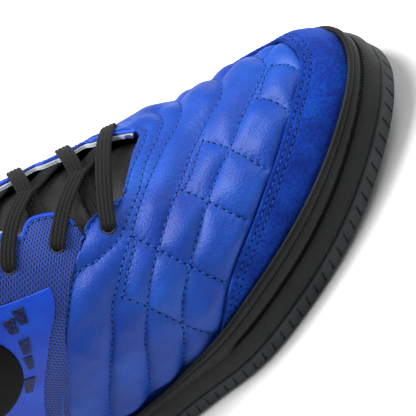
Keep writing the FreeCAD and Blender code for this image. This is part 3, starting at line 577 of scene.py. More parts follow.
def rim_lean():
    """Outward bearing round the rim, evened out so that neighbouring rays never cross."""
    turn = np.linspace(-LEAN_HALF, LEAN_HALF, LEAN_STEPS)
    _plan, out = rim_point(turn)
    bearing = np.unwrap(np.arctan2(out[:, 1], out[:, 0]))
    reach = np.arange(-LEAN_WINDOW, LEAN_WINDOW + 1)
    weights = np.exp(-(reach * (turn[1] - turn[0]) / LEAN_SPREAD) ** 2)
    padded = np.pad(bearing, LEAN_WINDOW, mode="edge")
    return turn, np.convolve(padded, weights / weights.sum(), mode="valid")


RIM_LEAN = rim_lean()


def shifted(plan, out, reach, z):
    """Plan points moved along their outward directions, at a height."""
    return vec(plan[..., 0] + out[..., 0] * reach, plan[..., 1] + out[..., 1] * reach, z)


def on_rim(turn, rise):
    """Skin beside the sole's rim: turn as rim_point, rise in degrees above level."""
    turn, rise = np.broadcast_arrays(np.asarray(turn, float), np.radians(rise))
    plan, _out = rim_point(turn)
    lean = np.interp(turn, *RIM_LEAN)
    out = vec(np.cos(lean), np.sin(lean))
    ray = vec(out[..., 0] * np.cos(rise), out[..., 1] * np.cos(rise), np.sin(rise))
    return shoot(shifted(plan, out, -RIM_INSET, WIDEST_Z), ray)


def outline(turn, level):
    """Skin outline near one level, following the toe's lift, with outward directions."""
    plan, out = rim_point(turn)
    height = np.minimum(level + spring(plan[..., 0]), WIDEST_Z)
    ray = vec(out[..., 0], out[..., 1], 0.0)
    points, _normals = shoot(shifted(plan, out, -RIM_INSET, height), ray)
    return points[..., :2], out


# ---------------------------------------------------------------- meshes

FINISHES = {}
HELD = {}


def finish_of(name):
    """Material of one look, made on its first use."""
    if name not in FINISHES:
        maker, *settings = LOOKS[name]
        FINISHES[name] = maker(name, *settings)
    return FINISHES[name]


def make_piece(name, points, faces, look, stands_for=(), flat=None, body=BOOT):
    """Mesh object from points in millimetres, riding on a body, with panel coordinates."""
    mesh = bpy.data.meshes.new(name)
    mesh.from_pydata((np.asarray(points) * MM).tolist(), [], faces)
    mesh.validate()
    mesh.polygons.foreach_set("use_smooth", [True] * len(mesh.polygons))
    if flat is not None:
        layer = mesh.uv_layers.new(name="panel")
        corners = np.zeros(len(mesh.loops), np.int32)
        mesh.loops.foreach_get("vertex_index", corners)
        layer.data.foreach_set("uv", (np.asarray(flat) * MM)[corners].astype(np.float32).ravel())
    mesh.materials.append(finish_of(look))
    piece = bpy.data.objects.new(name, mesh)
    bpy.context.scene.collection.objects.link(piece)
    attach(piece, body)
    if stands_for:
        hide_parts(*stands_for)
    HELD[name] = (np.asarray(points), faces)
    return piece


def steps(count, roll, length):
    """Even shares of a length with extra ones close to both ends, for the rolled edges."""
    near = roll / length * np.array([0, 0.08, 0.3, 0.62])
    middle = np.linspace(roll / length, 1 - roll / length, count - 7)
    return np.concatenate([near, middle, 1 - near[::-1]])


def grid_faces(across, along, first=0, flip=False):
    """Quads of a net of (across, along) vertices numbered row by row."""
    i, j = np.meshgrid(np.arange(across - 1), np.arange(along - 1), indexing="ij")
    a = first + i * along + j
    quads = np.stack([a, a + along, a + along + 1, a + 1], axis=-1).reshape(-1, 4)
    return (quads[:, ::-1] if flip else quads).tolist()


def tube_faces(count, sides, looped=False, flip=False):
    """Faces of a tube of closed sections, either looped on itself or capped at both ends."""
    rows = np.arange(count if looped else count - 1)
    i, j = np.meshgrid(rows, np.arange(sides), indexing="ij")
    ahead, beside = (i + 1) % count, (j + 1) % sides
    quads = np.stack([i * sides + j, i * sides + beside, ahead * sides + beside,
                      ahead * sides + j], axis=-1).reshape(-1, 4)
    faces = (quads[:, [0, 3, 2, 1]] if flip else quads).tolist()
    return faces if looped else faces + end_caps(count, sides, flip)


def end_caps(count, sides, flip):
    """Faces over both ends of a tube."""
    first, last = list(range(sides)), list(range((count - 1) * sides, count * sides))
    return [first, last[::-1]] if flip else [first[::-1], last]


def rim_of(across, along):
    """Places round the border of a net."""
    top = [(i, 0) for i in range(across - 1)]
    right = [(across - 1, j) for j in range(along - 1)]
    bottom = [(i, along - 1) for i in range(across - 1, 0, -1)]
    left = [(0, j) for j in range(along - 1, 0, -1)]
    return top + right + bottom + left


def closed_panel(outer, inner, stride):
    """Faces of a closed sheet: fine outer net, coarse inner net, joined round the border."""
    across, along = outer.shape[:2]
    rows, cols = inner.shape[:2]
    turn_out = np.cross(outer[across // 2 + 1, along // 2] - outer[across // 2, along // 2],
                        outer[across // 2, along // 2 + 1] - outer[across // 2, along // 2])
    thick = outer[across // 2, along // 2] - inner[rows // 2, cols // 2]
    flip = float(np.dot(turn_out, thick)) < 0
    first = across * along
    faces = grid_faces(across, along, 0, flip) + grid_faces(rows, cols, first, not flip)
    fine = [i * along + j for i, j in rim_of(across, along)]
    coarse = [first + i * cols + j for i, j in rim_of(rows, cols)]
    for k in range(len(coarse)):
        upper = [fine[(k * stride + n) % len(fine)] for n in range(stride + 1)]
        face = upper + [coarse[(k + 1) % len(coarse)], coarse[k]]
        faces.append(face if flip else face[::-1])
    return faces


def wrapped(points):
    """Cloth coordinates that run along the boot and up its leg, and round it."""
    turn = np.arctan2(np.abs(points[..., 1] - LEG_Y), points[..., 2] - 15.0)
    climb = 0.95 * np.maximum(points[..., 2] - 78.0, 0.0)
    return np.stack([points[..., 0] - climb, turn * 52.0], axis=-1)


def lift_at(given, points, u, v):
    """Lift from the skin, given as a number or as a function of the points and their shares."""
    return given(points, u, v) if callable(given) else np.full(u.shape, float(given))


def panel(name, place, lengths, counts, relief, under, look, stands_for=(), roll=0.6,
          stride=4, body=BOOT, drop=0.7, woven=False):
    """One closed panel. Relief is its outer lift from the skin and under its inner lift. Roll is
    the radius of its worn edge and drop how deep the edge falls, as a share of it. Stride is
    how much coarser the inner net is. A woven panel has cloth coordinates that match its
    neighbours'."""
    us, vs = steps(counts[0], roll, lengths[0]), steps(counts[1], roll, lengths[1])
    u, v = np.meshgrid(us, vs, indexing="ij")
    points, normals = place(u, v)
    edge = np.minimum(np.minimum(u, 1 - u) * lengths[0], np.minimum(v, 1 - v) * lengths[1])
    near = np.clip(edge / roll, 0, 1)
    lift = lift_at(relief, points, u, v) - drop * roll * (1 - np.sqrt(1 - (1 - near) ** 2))
    outer = points + normals * lift[..., None]
    inner = points + normals * lift_at(under, points, u, v)[..., None]
    inner = inner[::stride, ::stride]
    faces = closed_panel(outer, inner, stride)
    flat = wrapped(outer) if woven else vec(u * lengths[0], v * lengths[1])
    everything = np.vstack([outer.reshape(-1, 3), inner.reshape(-1, 3)])
    flats = np.vstack([flat.reshape(-1, 2), flat[::stride, ::stride].reshape(-1, 2)])
    return make_piece(name, everything, faces, look, stands_for, flats, body)


PAD_PRESSURE, PAD_HELD, PAD_FRAMES = 4.0, 3, 20


def fill_pad(piece, counts, most):
    """Swells a closed pad by cloth simulation with its sewn border held, then smooths it."""
    smooth = piece.modifiers.new("smooth", "SUBSURF")
    smooth.levels = smooth.render_levels = 1
    row, column = np.indices(counts)
    border = np.minimum(np.minimum(row, counts[0] - 1 - row),
                        np.minimum(column, counts[1] - 1 - column))
    sewn = np.flatnonzero(np.tile((border < PAD_HELD).ravel(), 2))
    group = piece.vertex_groups.new(name="sewn")
    group.add(sewn.tolist(), 1.0, "REPLACE")
    fill = piece.modifiers.new("fill", "CLOTH")
    fill.settings.quality = 6
    fill.settings.use_pressure = True
    fill.settings.uniform_pressure_force = PAD_PRESSURE
    fill.settings.vertex_group_mass = "sewn"
    fill.settings.effector_weights.gravity = 0.0
    smooth.show_viewport = False
    rest = np.array([vertex.co[:] for vertex in piece.data.vertices])
    for tick in range(1, PAD_FRAMES + 1):
        bpy.context.scene.frame_set(tick)
    swollen = piece.evaluated_get(bpy.context.evaluated_depsgraph_get()).to_mesh()
    moved = np.array([vertex.co[:] for vertex in swollen.vertices]) - rest
    piece.modifiers.remove(fill)
    bpy.context.scene.frame_set(1)
    smooth.show_viewport = True
    far = np.maximum(np.linalg.norm(moved, axis=1, keepdims=True), 1e-9)
    piece.data.vertices.foreach_set("co", (rest + moved / far * np.minimum(far, most * MM)).ravel())
    piece.data.update()


# ---------------------------------------------------------------- seams and stitches

STITCH = 3.1
REACH = 14.0
BATCH = 12000
QUILT_WIDTH = 4.5
PUCKER, PUCKER_GAP, PUCKER_WIDTH = 0.07, 1.2, 1.3
RAY_ABOVE, RAY_BELOW = 5.0, 9.0
TANGENT_STEP = 0.4
DASH_SHARE, DASH_ARCH, DASH_RISE = 0.33, 0.34, 0.16
# Size and sink of the dark beads painted as shade in the needle holes.
NEEDLE_HOLE, NEEDLE_RISE = (0.6, 0.46, 0.2), -0.04


def smooth_path(marks, count):
    """Station and angle along a smooth line through given marks."""
    marks = np.array(marks, float)
    gaps = np.hypot(np.diff(marks[:, 0]), np.diff(marks[:, 1]) * 0.8)
    at = np.concatenate([[0], np.cumsum(gaps)])
    even = np.linspace(0, at[-1], count)
    return [curve_through(list(zip(at, marks[:, k])))(even) for k in (0, 1)]


def ring_row(marks, count=48):
    """Skin points and normals along a line of (station, angle) marks."""
    station, angle = smooth_path(marks, count)
    return on_ring(station, angle)


def noise_field(points, size, seed=0.0):
    """Smooth noise from -1 to 1 at each point, by a sum of turned waves of about one size."""
    value = np.zeros(points.shape[:-1])
    for k in range(7):
        a, b = 1.7 * k + seed, 2.4 * k + 0.6 * seed + 1.0
        wave = np.array([math.cos(a) * math.cos(b), math.sin(a) * math.cos(b), math.sin(b)])
        rate = 2 * math.pi / size * (0.7 + 0.11 * k)
        value += np.sin(points @ wave * rate + 1.3 * k * k + seed)
    return value / 3.2


def gap_to(points, row, reach=REACH):
    """Distance from each point to a line of points, and how far along it the nearest one is."""
    row = np.asarray(row)
    a, ab = row[:-1], np.diff(row, axis=0)
    length = np.linalg.norm(ab, axis=1)
    start = run_length(row)[:-1]
    flat = points.reshape(-1, 3)
    gap, along = np.full(len(flat), reach), np.zeros(len(flat))
    close = np.all((flat > row.min(0) - reach) & (flat < row.max(0) + reach), axis=1)
    index = np.nonzero(close)[0]
    for part in np.array_split(index, max(1, len(index) // BATCH)):
        offset = flat[part][:, None] - a
        t = np.clip((offset * ab).sum(-1) / np.maximum(length ** 2, 1e-9), 0, 1)
        away = np.linalg.norm(offset - t[..., None] * ab, axis=-1)
        best = away.argmin(1)
        rows = np.arange(len(part))
        gap[part] = np.minimum(away[rows, best], reach)
        along[part] = start[best] + t[rows, best] * length[best]
    return gap.reshape(points.shape[:-1]), along.reshape(points.shape[:-1])


def past(points, line, ahead):
    """How far each point lies past a line, measured along the direction given at its places."""
    flat = points.reshape(-1, 3)
    square = (flat ** 2).sum(1)[:, None] + (line ** 2).sum(1)[None] - 2 * flat @ line.T
    nearest = square.argmin(axis=1)
    return ((flat - line[nearest]) * unit(ahead)[nearest]).sum(1).reshape(points.shape[:-1])


def quilt(points, rows):
    """Padding between stitch rows: 0 on a row, 1 in the open, and small puckers beside it."""
    puff, ripple = np.ones(points.shape[:-1]), np.zeros(points.shape[:-1])
    for row in rows:
        gap, along = gap_to(points, row)
        puff *= (1 - np.exp(-gap / QUILT_WIDTH)) / (1 - math.exp(-REACH / QUILT_WIDTH))
        beside = np.exp(-((gap - PUCKER_GAP) / PUCKER_WIDTH) ** 2)
        ripple += beside * np.cos(2 * math.pi * along / STITCH)
    return puff, ripple * PUCKER


def tree_of(*names):
    """Search tree over finished pieces, to lay stitches on them."""
    points, faces, first = [], [], 0
    for name in names:
        own, own_faces = HELD[name]
        points.append(own)
        faces += [[k + first for k in face] for face in own_faces]
        first += len(own)
    return BVHTree.FromPolygons(np.vstack(points).tolist(), faces)


def laid(tree, points, normals):
    """Points moved along their normals onto the outermost surface there."""
    found, out = points.copy(), normals.copy()
    for k, (point, normal) in enumerate(zip(points, normals)):
        above = Vector(point + normal * RAY_ABOVE)
        hit, hit_normal, _face, _gap = tree.ray_cast(above, Vector(-normal), RAY_ABOVE + RAY_BELOW)
        if hit is not None:
            found[k] = hit
            away = np.array(hit_normal)
            out[k] = away if np.dot(away, normal) > 0 else -away
    return found, out


def along_row(points, normals, spacing, offset=0.5):
    """Evenly spaced places on a line: points, normals and unit tangents."""
    length = run_length(points)
    count = max(2, int(length[-1] / spacing))
    at = (np.arange(count) + offset) * (length[-1] / count)

    def read(values, s):
        return np.stack([np.interp(s, length, values[:, k]) for k in range(3)], axis=-1)

    tangent = read(points, at + TANGENT_STEP) - read(points, at - TANGENT_STEP)
    return read(points, at), unit(read(normals, at)), unit(tangent)


def copies(shape, faces, centres, along, up):
    """One small shape repeated at many places, its x along the row and its z up."""
    along = unit(along - up * (along * up).sum(1, keepdims=True))
    across = np.cross(up, along)
    points = (centres[:, None] + shape[None, :, 0:1] * along[:, None]
              + shape[None, :, 1:2] * across[:, None] + shape[None, :, 2:3] * up[:, None])
    count = len(shape)
    lots = [[k + n * count for k in face] for n in range(len(centres)) for face in faces]
    return points.reshape(-1, 3), lots


def bead_shape(half_length, half_width, rise, rings=7, sides=8, arch=0.0):
    """Closed rounded bead lying along x, its ends bent down by arch."""
    points = []
    for i in range(rings):
        share = -1 + 2 * i / (rings - 1)
        girth = max(0.12, (1 - abs(share) ** 3.2)) ** 0.5
        for j in range(sides):
            turn = 2 * math.pi * j / sides
            points.append((share * half_length, math.cos(turn) * half_width * girth,
                           math.sin(turn) * rise * girth - arch * share * share))
    return np.array(points), tube_faces(rings, sides, flip=True)


def stitch_rows(name, rows, over, thread="thread", pitch=STITCH, half_width=0.36):
    """Thread dashes, and between them dark beads painted as the shade in the needle holes, on rows of
    (points, normals).
    """
    tree = tree_of(*over)
    dash = bead_shape(pitch * DASH_SHARE, half_width, half_width * 0.85, arch=DASH_ARCH)
    # painted shade: a dark bead stands for the shade inside each needle hole
    hole = bead_shape(*NEEDLE_HOLE, rings=5)
    for label, (shape, faces), offset, rise, look in (
            ("_thread", dash, 0.5, DASH_RISE, thread),
            ("_hole_shades", hole, 0.0, NEEDLE_RISE, "needle_hole")):
        centres, tangents, ups = [], [], []
        for line, normals in rows:
            place, normal, tangent = along_row(line, normals, pitch, offset)
            place, normal = laid(tree, place, normal)
            centres.append(place + normal * rise)
            tangents.append(tangent)
            ups.append(normal)
        points, lots = copies(shape, faces, *(np.vstack(lot) for lot in (centres, tangents, ups)))
        make_piece(name + label, points, lots, look)


def strip(name, points, normals, width, low, high, look):
    """Flat band with rounded edges along a line on the skin."""
    across = np.cross(normals, unit(np.gradient(points, axis=0)))
    edge = [(0.5, low), (0.5, mix(low, high, 0.5)), (0.44, mix(low, high, 0.86)), (0.3, high)]
    profile = [(-a, b) for a, b in edge] + [(0, high + 0.05)] + edge[::-1]
    net = np.stack([points + across * width * a + normals * b for a, b in profile], axis=1)
    count, sides = net.shape[:2]
    faces = grid_faces(count, sides, 0, True)
    faces += [[i * sides, (i + 1) * sides, (i + 2) * sides - 1, (i + 1) * sides - 1][::-1]
              for i in range(count - 1)]
    faces += end_caps(count, sides, True)
    flat = vec([a * width for a, _ in profile], run_length(points)[:, None])
    make_piece(name, net.reshape(-1, 3), faces, look, (), flat.reshape(-1, 2))


# ---------------------------------------------------------------- seam lines, as station and angle

SHARE_FRONT = curve_through(
    [(-1, 36), (-0.93, 42), (-0.85, 56), (-0.78, 70), (-0.70, 86), (-0.65, 99), (-0.59, 110),
     (-0.53, 120), (-0.43, 130), (-0.25, 134), (0, 134.5), (0.25, 134.5), (0.45, 134),
     (0.56, 131), (0.63, 123), (0.66, 112), (0.69, 99), (0.74, 86), (0.82, 70), (0.9, 56),
     (1, 40)])
SHARE_REAR = curve_through(
    [(-1, -9), (-0.83, -4), (-0.76, 0), (-0.65, 6), (-0.54, 12), (-0.48, 17), (-0.40, 25),
     (-0.33, 33), (-0.26, 38.5), (-0.232, 40), (-0.205, 43), (-0.188, 47), (-0.178, 51),
     (-0.166, 54.5), (-0.12, 56.5), (-0.06, 58), (0.03, 60), (0.13, 62), (0.23, 64),
     (0.31, 64), (0.37, 58), (0.42, 48), (0.47, 38), (0.53, 29), (0.6, 22), (0.68, 15),
     (0.78, 8), (0.88, 3), (1, -3)])
CAP_RISE = curve_through(
    [(-0.42, -12), (-0.407, 0), (-0.375, 25), (-0.341, 40), (-0.30, 49), (-0.264, 56),
     (-0.22, 62), (-0.17, 68), (-0.10, 74), (0, 75), (0.06, 73), (0.11, 69), (0.15, 63.5),
     (0.19, 58), (0.23, 54), (0.264, 51), (0.30, 46), (0.341, 37), (0.375, 24), (0.407, 0),
     (0.42, -10)])
CAP_TURN = 0.42

QUILT_LINES = [
    [(112, 70), (118, 51), (120, 35), (116, 10), (108, -15), (98, -38), (85, -54), (70, -70),
     (58, -80), (45, -92), (34, -106), (26, -121), (22, -130)],
    [(123, 27), (119.5, 16), (117.5, 3), (115, -10)],
    [(84, 86), (91, 72), (98, 56), (100, 42), (98.5, 24), (91, 7), (84, -11), (78, -29),
     (69, -46), (58, -60), (46, -72), (37, -82), (29, -94), (22, -110), (15, -126)],
    [(88, -11), (83.5, -24), (79, -36), (74, -43)],
    [(58, 100), (68, 82), (77, 64), (80.5, 48), (79, 28), (74, 11), (67, -13), (60, -31),
     (52, -46), (41, -59), (30, -72), (24, -84), (17, -98), (11, -112), (3, -132)],
    [(52.5, -50), (47, -57), (41, -63), (34, -71)],
    [(69, 58), (73, 43), (72, 28), (66, 2), (60, -24), (54, -36), (48, -44), (38, -47),
     (29, -48)],
    [(67, 38), (66.5, 28), (64, 14), (60, -2), (56.5, -17), (53, -24), (46, -26), (42, -29),
     (37, -34)],
    [(123, 26), (128, 12), (130.5, -4), (133, -22)],
    [(114, -10), (118, -24), (121, -41), (123, -58)],
    [(88, -12), (94, -30), (99.5, -50), (104, -70)],
    [(74, -42), (78, -54), (82, -67), (86.5, -81)],
    [(52, -48), (56, -62), (60, -79), (63.5, -97)],
    [(34, -71), (37.5, -86), (39, -101), (41.5, -116)],
    [(119, 50), (123, 60), (126, 72)],
    [(98, 56), (103, 66), (107, 77)],
    [(77, 64), (83, 75), (90, 86)],
    [(58, 100), (64, 104), (68, 108)],
]
LEATHER_EDGE_ROW = [(30, -47), (25.5, -53), (21, -60), (15, -70), (9, -83), (4, -98),
                    (0, -112), (-4, -124), (-7, -134)]
MEDIAL_EDGE_ROW = [(56, 54), (46, 60), (36, 66), (29, 76), (21, 88), (13, 102), (5, 118),
                   (0, 134)]
VAMP_SEAMS = QUILT_LINES + [LEATHER_EDGE_ROW, MEDIAL_EDGE_ROW]

HOLE_ANGLE = {
    -1: curve_through([(-95, 23), (-60, 23), (-30, 25), (-6, 27), (12, 29), (28, 31), (47, 36),
                       (60, 36)]),
    1: curve_through([(-95, 23), (-60, 23), (-30, 25), (0, 28), (20, 32), (35, 47), (50, 58),
                      (62, 60)])}
INNER_ANGLE = {
    -1: curve_through([(-95, 13), (-60, 12), (-30, 12), (0, 13), (20, 13), (30, 11.5),
                       (38, 16)]),
    1: curve_through([(-95, 13), (-60, 12), (-30, 13), (0, 15), (20, 20), (35, 35), (50, 44),
                      (64, 37)])}
OUTER_ANGLE = {
    -1: curve_through([(-95, 33), (-60, 35), (-20, 40), (10, 44), (29, 47), (38, 33)]),
    1: curve_through([(-95, 33), (-60, 35), (-20, 40), (0, 44), (20, 48), (35, 62), (50, 70),
                      (64, 62)])}
FACING_FRONT = {-1: 38.5, 1: 64.0}
FIRST_HOLE = {-1: 47.0, 1: 50.0}
LACE_PITCH = {-1: 21.0, 1: 21.42}
HOLE_COUNT = 8
SIDES = {-1: "lateral", 1: "medial"}


def hole_stations(side):
    """Stations of the lace holes, one lace pitch apart along their row."""
    table = np.arange(FIRST_HOLE[side], -130.0, -0.25)
    points, _normals = on_ring(table, side * HOLE_ANGLE[side](table))
    stations, last = [table[0]], points[0]
    for station, point in zip(table, points):
        if np.linalg.norm(point - last) >= LACE_PITCH[side]:
            stations.append(station)
            last = point
    return stations[:HOLE_COUNT]


HOLES = {side: hole_stations(side) for side in (-1, 1)}


def collar_z(angle):
    """Height of the collar's edge round the leg."""
    return COLLAR_Z - 5.0 * np.sin(np.radians(angle)) ** 2


# ---------------------------------------------------------------- forefoot

PUFF, PINCH = 3.7, -1.1
UNDER_CAP = 9.0
VAMP_UNDER = -2.9
SUEDE_LIFT = 1.15
CAP_UNDER, CAP_SUNK = -0.4, 2.8
GROOVE, GROOVE_WIDTH = 0.3, 0.75


def cap_edge_row(below=0.0):
    """The toe cap's upper edge, or a line that runs the given distance below it."""
    turn = np.linspace(0.01 - CAP_TURN, CAP_TURN - 0.01, 120)
    rise = CAP_RISE(turn)
    edge, _normals = on_rim(turn, rise)
    lower, _normals = on_rim(turn, rise - 10.0)
    scale = 10.0 / np.maximum(np.linalg.norm(edge - lower, axis=1), 0.5)
    return on_rim(turn, rise - below * scale)


def pit(points, centre, depth):
    """How far the leather is pressed down round one lace hole."""
    return depth * smooth_step(2.9, 2.0, np.linalg.norm(points - centre, axis=-1))


def nap(points, *_shares):
    """Lift of a suede piece, uneven with its nap."""
    return SUEDE_LIFT + 0.035 * noise_field(points, 1.9) + 0.06 * noise_field(points, 9.0, 2.0)


def make_vamp():
    """Quilted front panel: coated leather sewn down over foam in rows, puffed up between them."""
    rows = [ring_row(line)[0] for line in VAMP_SEAMS]
    cap_line = cap_edge_row()[0]
    below = cap_edge_row(2.0)[0] - cap_line
    first_hole, _normal = on_ring(FIRST_HOLE[-1], -HOLE_ANGLE[-1](FIRST_HOLE[-1]))

    def place(u, v):
        share = mix(-1.0, 1.0, u)
        return by_share(mix(SHARE_REAR(share), SHARE_FRONT(share) + UNDER_CAP, v), share)

    def relief(points, u, v):
        puff, ripple = quilt(points, rows)
        cap_gap, _along = gap_to(points, cap_line)
        ahead_of_cap = smooth_step(1.0, 0.0, past(points, cap_line, below))
        open_up = (1 - np.exp(-cap_gap / 2.4)) * ahead_of_cap
        uneven = 1 + 0.16 * noise_field(points, 26.0) + 0.1 * noise_field(points, 11.0, 3.0)
        return PINCH + PUFF * puff * open_up * uneven + ripple - pit(points, first_hole, 1.6)

    vamp = panel("vamp_quilted", place, (245.0, 90.0), (424, 196), relief, VAMP_UNDER,
                 "royal_leather", ("vamp", "vamp_foam"), roll=0.9)
    stitch_rows("vamp_stitch", [ring_row(line, 160) for line in VAMP_SEAMS], ["vamp_quilted"])


def make_toe_cap():
    """Suede toe cap with two rows of stitching along its edge, sunk behind the sole's rim."""
    seams = [cap_edge_row(2.0), cap_edge_row(4.4)]

    def place(u, v):
        turn = mix(-CAP_TURN, CAP_TURN, u)
        plan, _out = rim_point(turn)
        low = -np.degrees(np.arctan2(WIDEST_Z - TUCK_Z - spring(plan[..., 0]), RIM_INSET - 0.4))
        return on_rim(turn, mix(low, CAP_RISE(turn), v))

    def sunk(points):
        return CAP_SUNK * smooth_step(22.2, 19.6, points[..., 2] - spring(points[..., 0]))

    def relief(points, u, v):
        lift = nap(points) - sunk(points)
        for row, _normals in seams:
            gap, _along = gap_to(points, row, 4.0)
            lift -= GROOVE * np.exp(-(gap / GROOVE_WIDTH) ** 2)
        return lift

    def under(points, u, v):
        return CAP_UNDER - sunk(points)

    panel("toe_cap_suede", place, (260.0, 46.0), (400, 120), relief, under, "suede",
          ("toe_cap",), roll=0.8)
    stitch_rows("toe_cap_stitch", seams, ["toe_cap_suede"], "cap_thread", half_width=0.33)


# ---------------------------------------------------------------- sole unit

WALL_RIM = curve_through([(-150, 27), (-120, 26), (-70, 21.5), (-10, 21), (8, 21.8), (22, 24.2),
                          (150, 24.2)])
FULL_RIM = 24.2
BAND_FOOT = 19.1
CHANNEL_START = 44.0
SLOT_PITCH, SLOT_LEAN = 5.8, 0.5
DRAWN_IN, TREAD_DRAWN_IN, RIM_DRAWN_DOWN = 2.1, 0.7, 1.6
THREAD_REACH, THREAD_Z, THREAD_PITCH = 2.5, 18.0, 5.2

# Section of the cup wall: reach beyond the upper, height, and whether it is in the channel.
WALL_SECTION = [
    (1.5, 7.75, 0), (3.1, 7.75, 0), (3.5, 8.0, 0), (3.85, 8.7, 0), (4.15, 10.4, 0),
    (4.3, 12.4, 0), (4.2, 14.6, 0), (3.9, 16.2, 0), (3.62, 16.9, 0), (3.5, 17.1, 0),
    (3.0, 17.25, 1), (2.3, 17.5, 1), (2.3, 18.5, 1), (3.0, 18.8, 1), (3.5, 18.95, 0),
    (3.68, 19.2, 0), (3.78, 19.8, 0), (3.78, 21.6, 0), (3.6, 21.85, 0), (3.3, 22.0, 0),
    (3.65, 22.15, 0), (3.98, 22.6, 0), (3.92, 23.4, 0), (3.5, 24.0, 0), (2.8, 24.3, 0),
    (2.0, 24.1, 0), (1.5, 23.4, 0), (1.4, 20.0, 0), (1.4, 12.0, 0)]

# Section of the tread's edge: reach, height, and whether the slots are cut there.
EDGE_SECTION = [
    (2.0, 0.5, 0), (3.1, 0.4, 0), (3.55, 0.7, 0), (3.8, 1.25, 0), (3.8, 1.45, 1), (3.82, 3.5, 1),
    (3.82, 5.5, 1), (3.82, 5.75, 0), (3.75, 6.6, 0), (3.5, 7.15, 0), (3.0, 7.5, 0),
    (2.0, 7.6, 0)]
SLOT_DEPTH = 1.05
SLOT_COLUMNS = [(-0.80, 0), (-0.52, 0), (-0.36, 1), (0.0, 1), (0.36, 1), (0.52, 0), (0.80, 0)]


def sole_track():
    """Smooth closed line round the upper at the sole: places along it, and its length."""
    plan, _out = outline(np.linspace(-1, 1, 1441)[:-1], 20.0)
    closed = np.vstack([plan, plan[:1]])
    length = run_length(closed)
    total, count = length[-1], 1440
    at = np.arange(count) * total / count
    line = np.stack([np.interp(at, length, closed[:, k]) for k in (0, 1)], axis=-1)
    reach = range(-30, 31)
    weights = np.exp(-(np.array(reach) * total / count / 5.0) ** 2)
    line = sum(w * np.roll(line, k, axis=0) for k, w in zip(reach, weights / weights.sum()))
    ahead = unit(np.roll(line, -2, axis=0) - np.roll(line, 2, axis=0))

    def around(place):
        def read(values):
            return np.interp(place, at, values, period=total)
        return (vec(read(line[:, 0]), read(line[:, 1])), vec(read(ahead[:, 1]), -read(ahead[:, 0])))

    return around, total


AROUND, ROUND_LENGTH = sole_track()


def ring_piece(name, at, reach, height, look, stands_for=()):
    """Closed band round the sole from nets (along, section) of place, reach and height."""
    plan, out = AROUND(at)
    points = shifted(plan, out, reach, height + spring(plan[..., 0]))

    def travelled(net, axis):
        steps_taken = np.diff(net, axis=axis, prepend=np.take(net, [0], axis=axis))
        return np.cumsum(np.linalg.norm(steps_taken, axis=-1), axis=axis)

    flat = vec(travelled(points[:, :1], 0), travelled(points, 1))
    make_piece(name, points.reshape(-1, 3), tube_faces(*at.shape, looped=True, flip=True), look,
               stands_for, flat.reshape(-1, 2))


def drawn_share(plan, out):
    """How much the sole is drawn in: 1 at the inner side of the toe, 0 away from it."""
    return smooth_step(0.1, 0.8, out[..., 1]) * smooth_step(50.0, 100.0, plan[..., 0])


def make_wall():
    """Cup wall: convex band, channel round the toe, upper band and bead at its rim."""
    count = 440
    at = np.arange(count)[:, None] * ROUND_LENGTH / count + np.zeros(len(WALL_SECTION))
    plan, out = AROUND(at)
    reach, height, cut = (np.array(column, float) for column in zip(*WALL_SECTION))
    channel = smooth_step(CHANNEL_START - 5.0, CHANNEL_START + 1.0, plan[..., 0])
    drawn = drawn_share(plan, out)
    reach = mix(reach, mix(3.5, reach, channel * (1 - 0.6 * drawn)), cut)
    taller = (WALL_RIM(plan[..., 0]) - BAND_FOOT) / (FULL_RIM - BAND_FOOT)
    height = np.where(height > BAND_FOOT, BAND_FOOT + (height - BAND_FOOT) * taller, height)
    reach = reach - DRAWN_IN * drawn * smooth_step(9.0, 17.0, height)
    height = height - RIM_DRAWN_DOWN * drawn * smooth_step(BAND_FOOT, FULL_RIM, height)
    ring_piece("cup_wall", at, reach, height, "wall_rubber", ("cupsole_sidewall",))


def make_tread_edge():
    """Edge of the tread with its row of leaning slots."""
    slots = round(ROUND_LENGTH / SLOT_PITCH)
    pitch = ROUND_LENGTH / slots
    columns = SLOT_COLUMNS + [(pitch / 2, 0)]
    offsets, inside = (np.array(column, float) for column in zip(*columns))
    along = (np.arange(slots)[:, None] * pitch + offsets).ravel()
    reach, height, cut = (np.array(column, float) for column in zip(*EDGE_SECTION))
    at = along[:, None] + SLOT_LEAN * (height - 3.5)
    plan, out = AROUND(at)
    drawn = drawn_share(plan, out)
    depth = np.tile(inside, slots)[:, None] * cut * SLOT_DEPTH
    ring_piece("tread_edge", at, reach - depth - TREAD_DRAWN_IN * drawn, height + 0 * at,
               "outsole_rubber")


def make_channel_thread():
    """Thick dark thread lying in the channel round the toe."""
    at = np.linspace(0, ROUND_LENGTH, 1200)
    plan, out = AROUND(at)
    toe = plan[:, 0] > CHANNEL_START
    plan, out = plan[toe], out[toe]
    points = shifted(plan, out, THREAD_REACH, THREAD_Z + spring(plan[:, 0]))
    outwards = vec(out[:, 0], out[:, 1], 0.0)
    place, normal, tangent = along_row(points, outwards, THREAD_PITCH)
    shape, faces = bead_shape(2.2, 0.55, 0.42, arch=0.35)
    beads, lots = copies(shape, faces, place, tangent, normal)
    make_piece("channel_thread", beads, lots, "lace_braid")


# ---------------------------------------------------------------- sides

HEEL_HALF, HEEL_SEAM_Z, CROWN_RISE, SEAM = 62.0, 92.0, 13.0, 0.3
CORNER_SHARE = 0.36
LINING_OUT, LINING_IN = -1.4, -2.4


def quarter_corners(side):
    """Upper rear and upper front corners of a side panel, as x and z."""
    rear, _normal = on_level(HEEL_SEAM_Z - SEAM, side * (180 - HEEL_HALF - 0.6))
    share = side * CORNER_SHARE
    front, _normal = by_share(SHARE_REAR(share) - SEAM * 2, share)
    return (rear[0], rear[2]), (front[0], front[2])


CORNERS = {side: quarter_corners(side) for side in (-1, 1)}


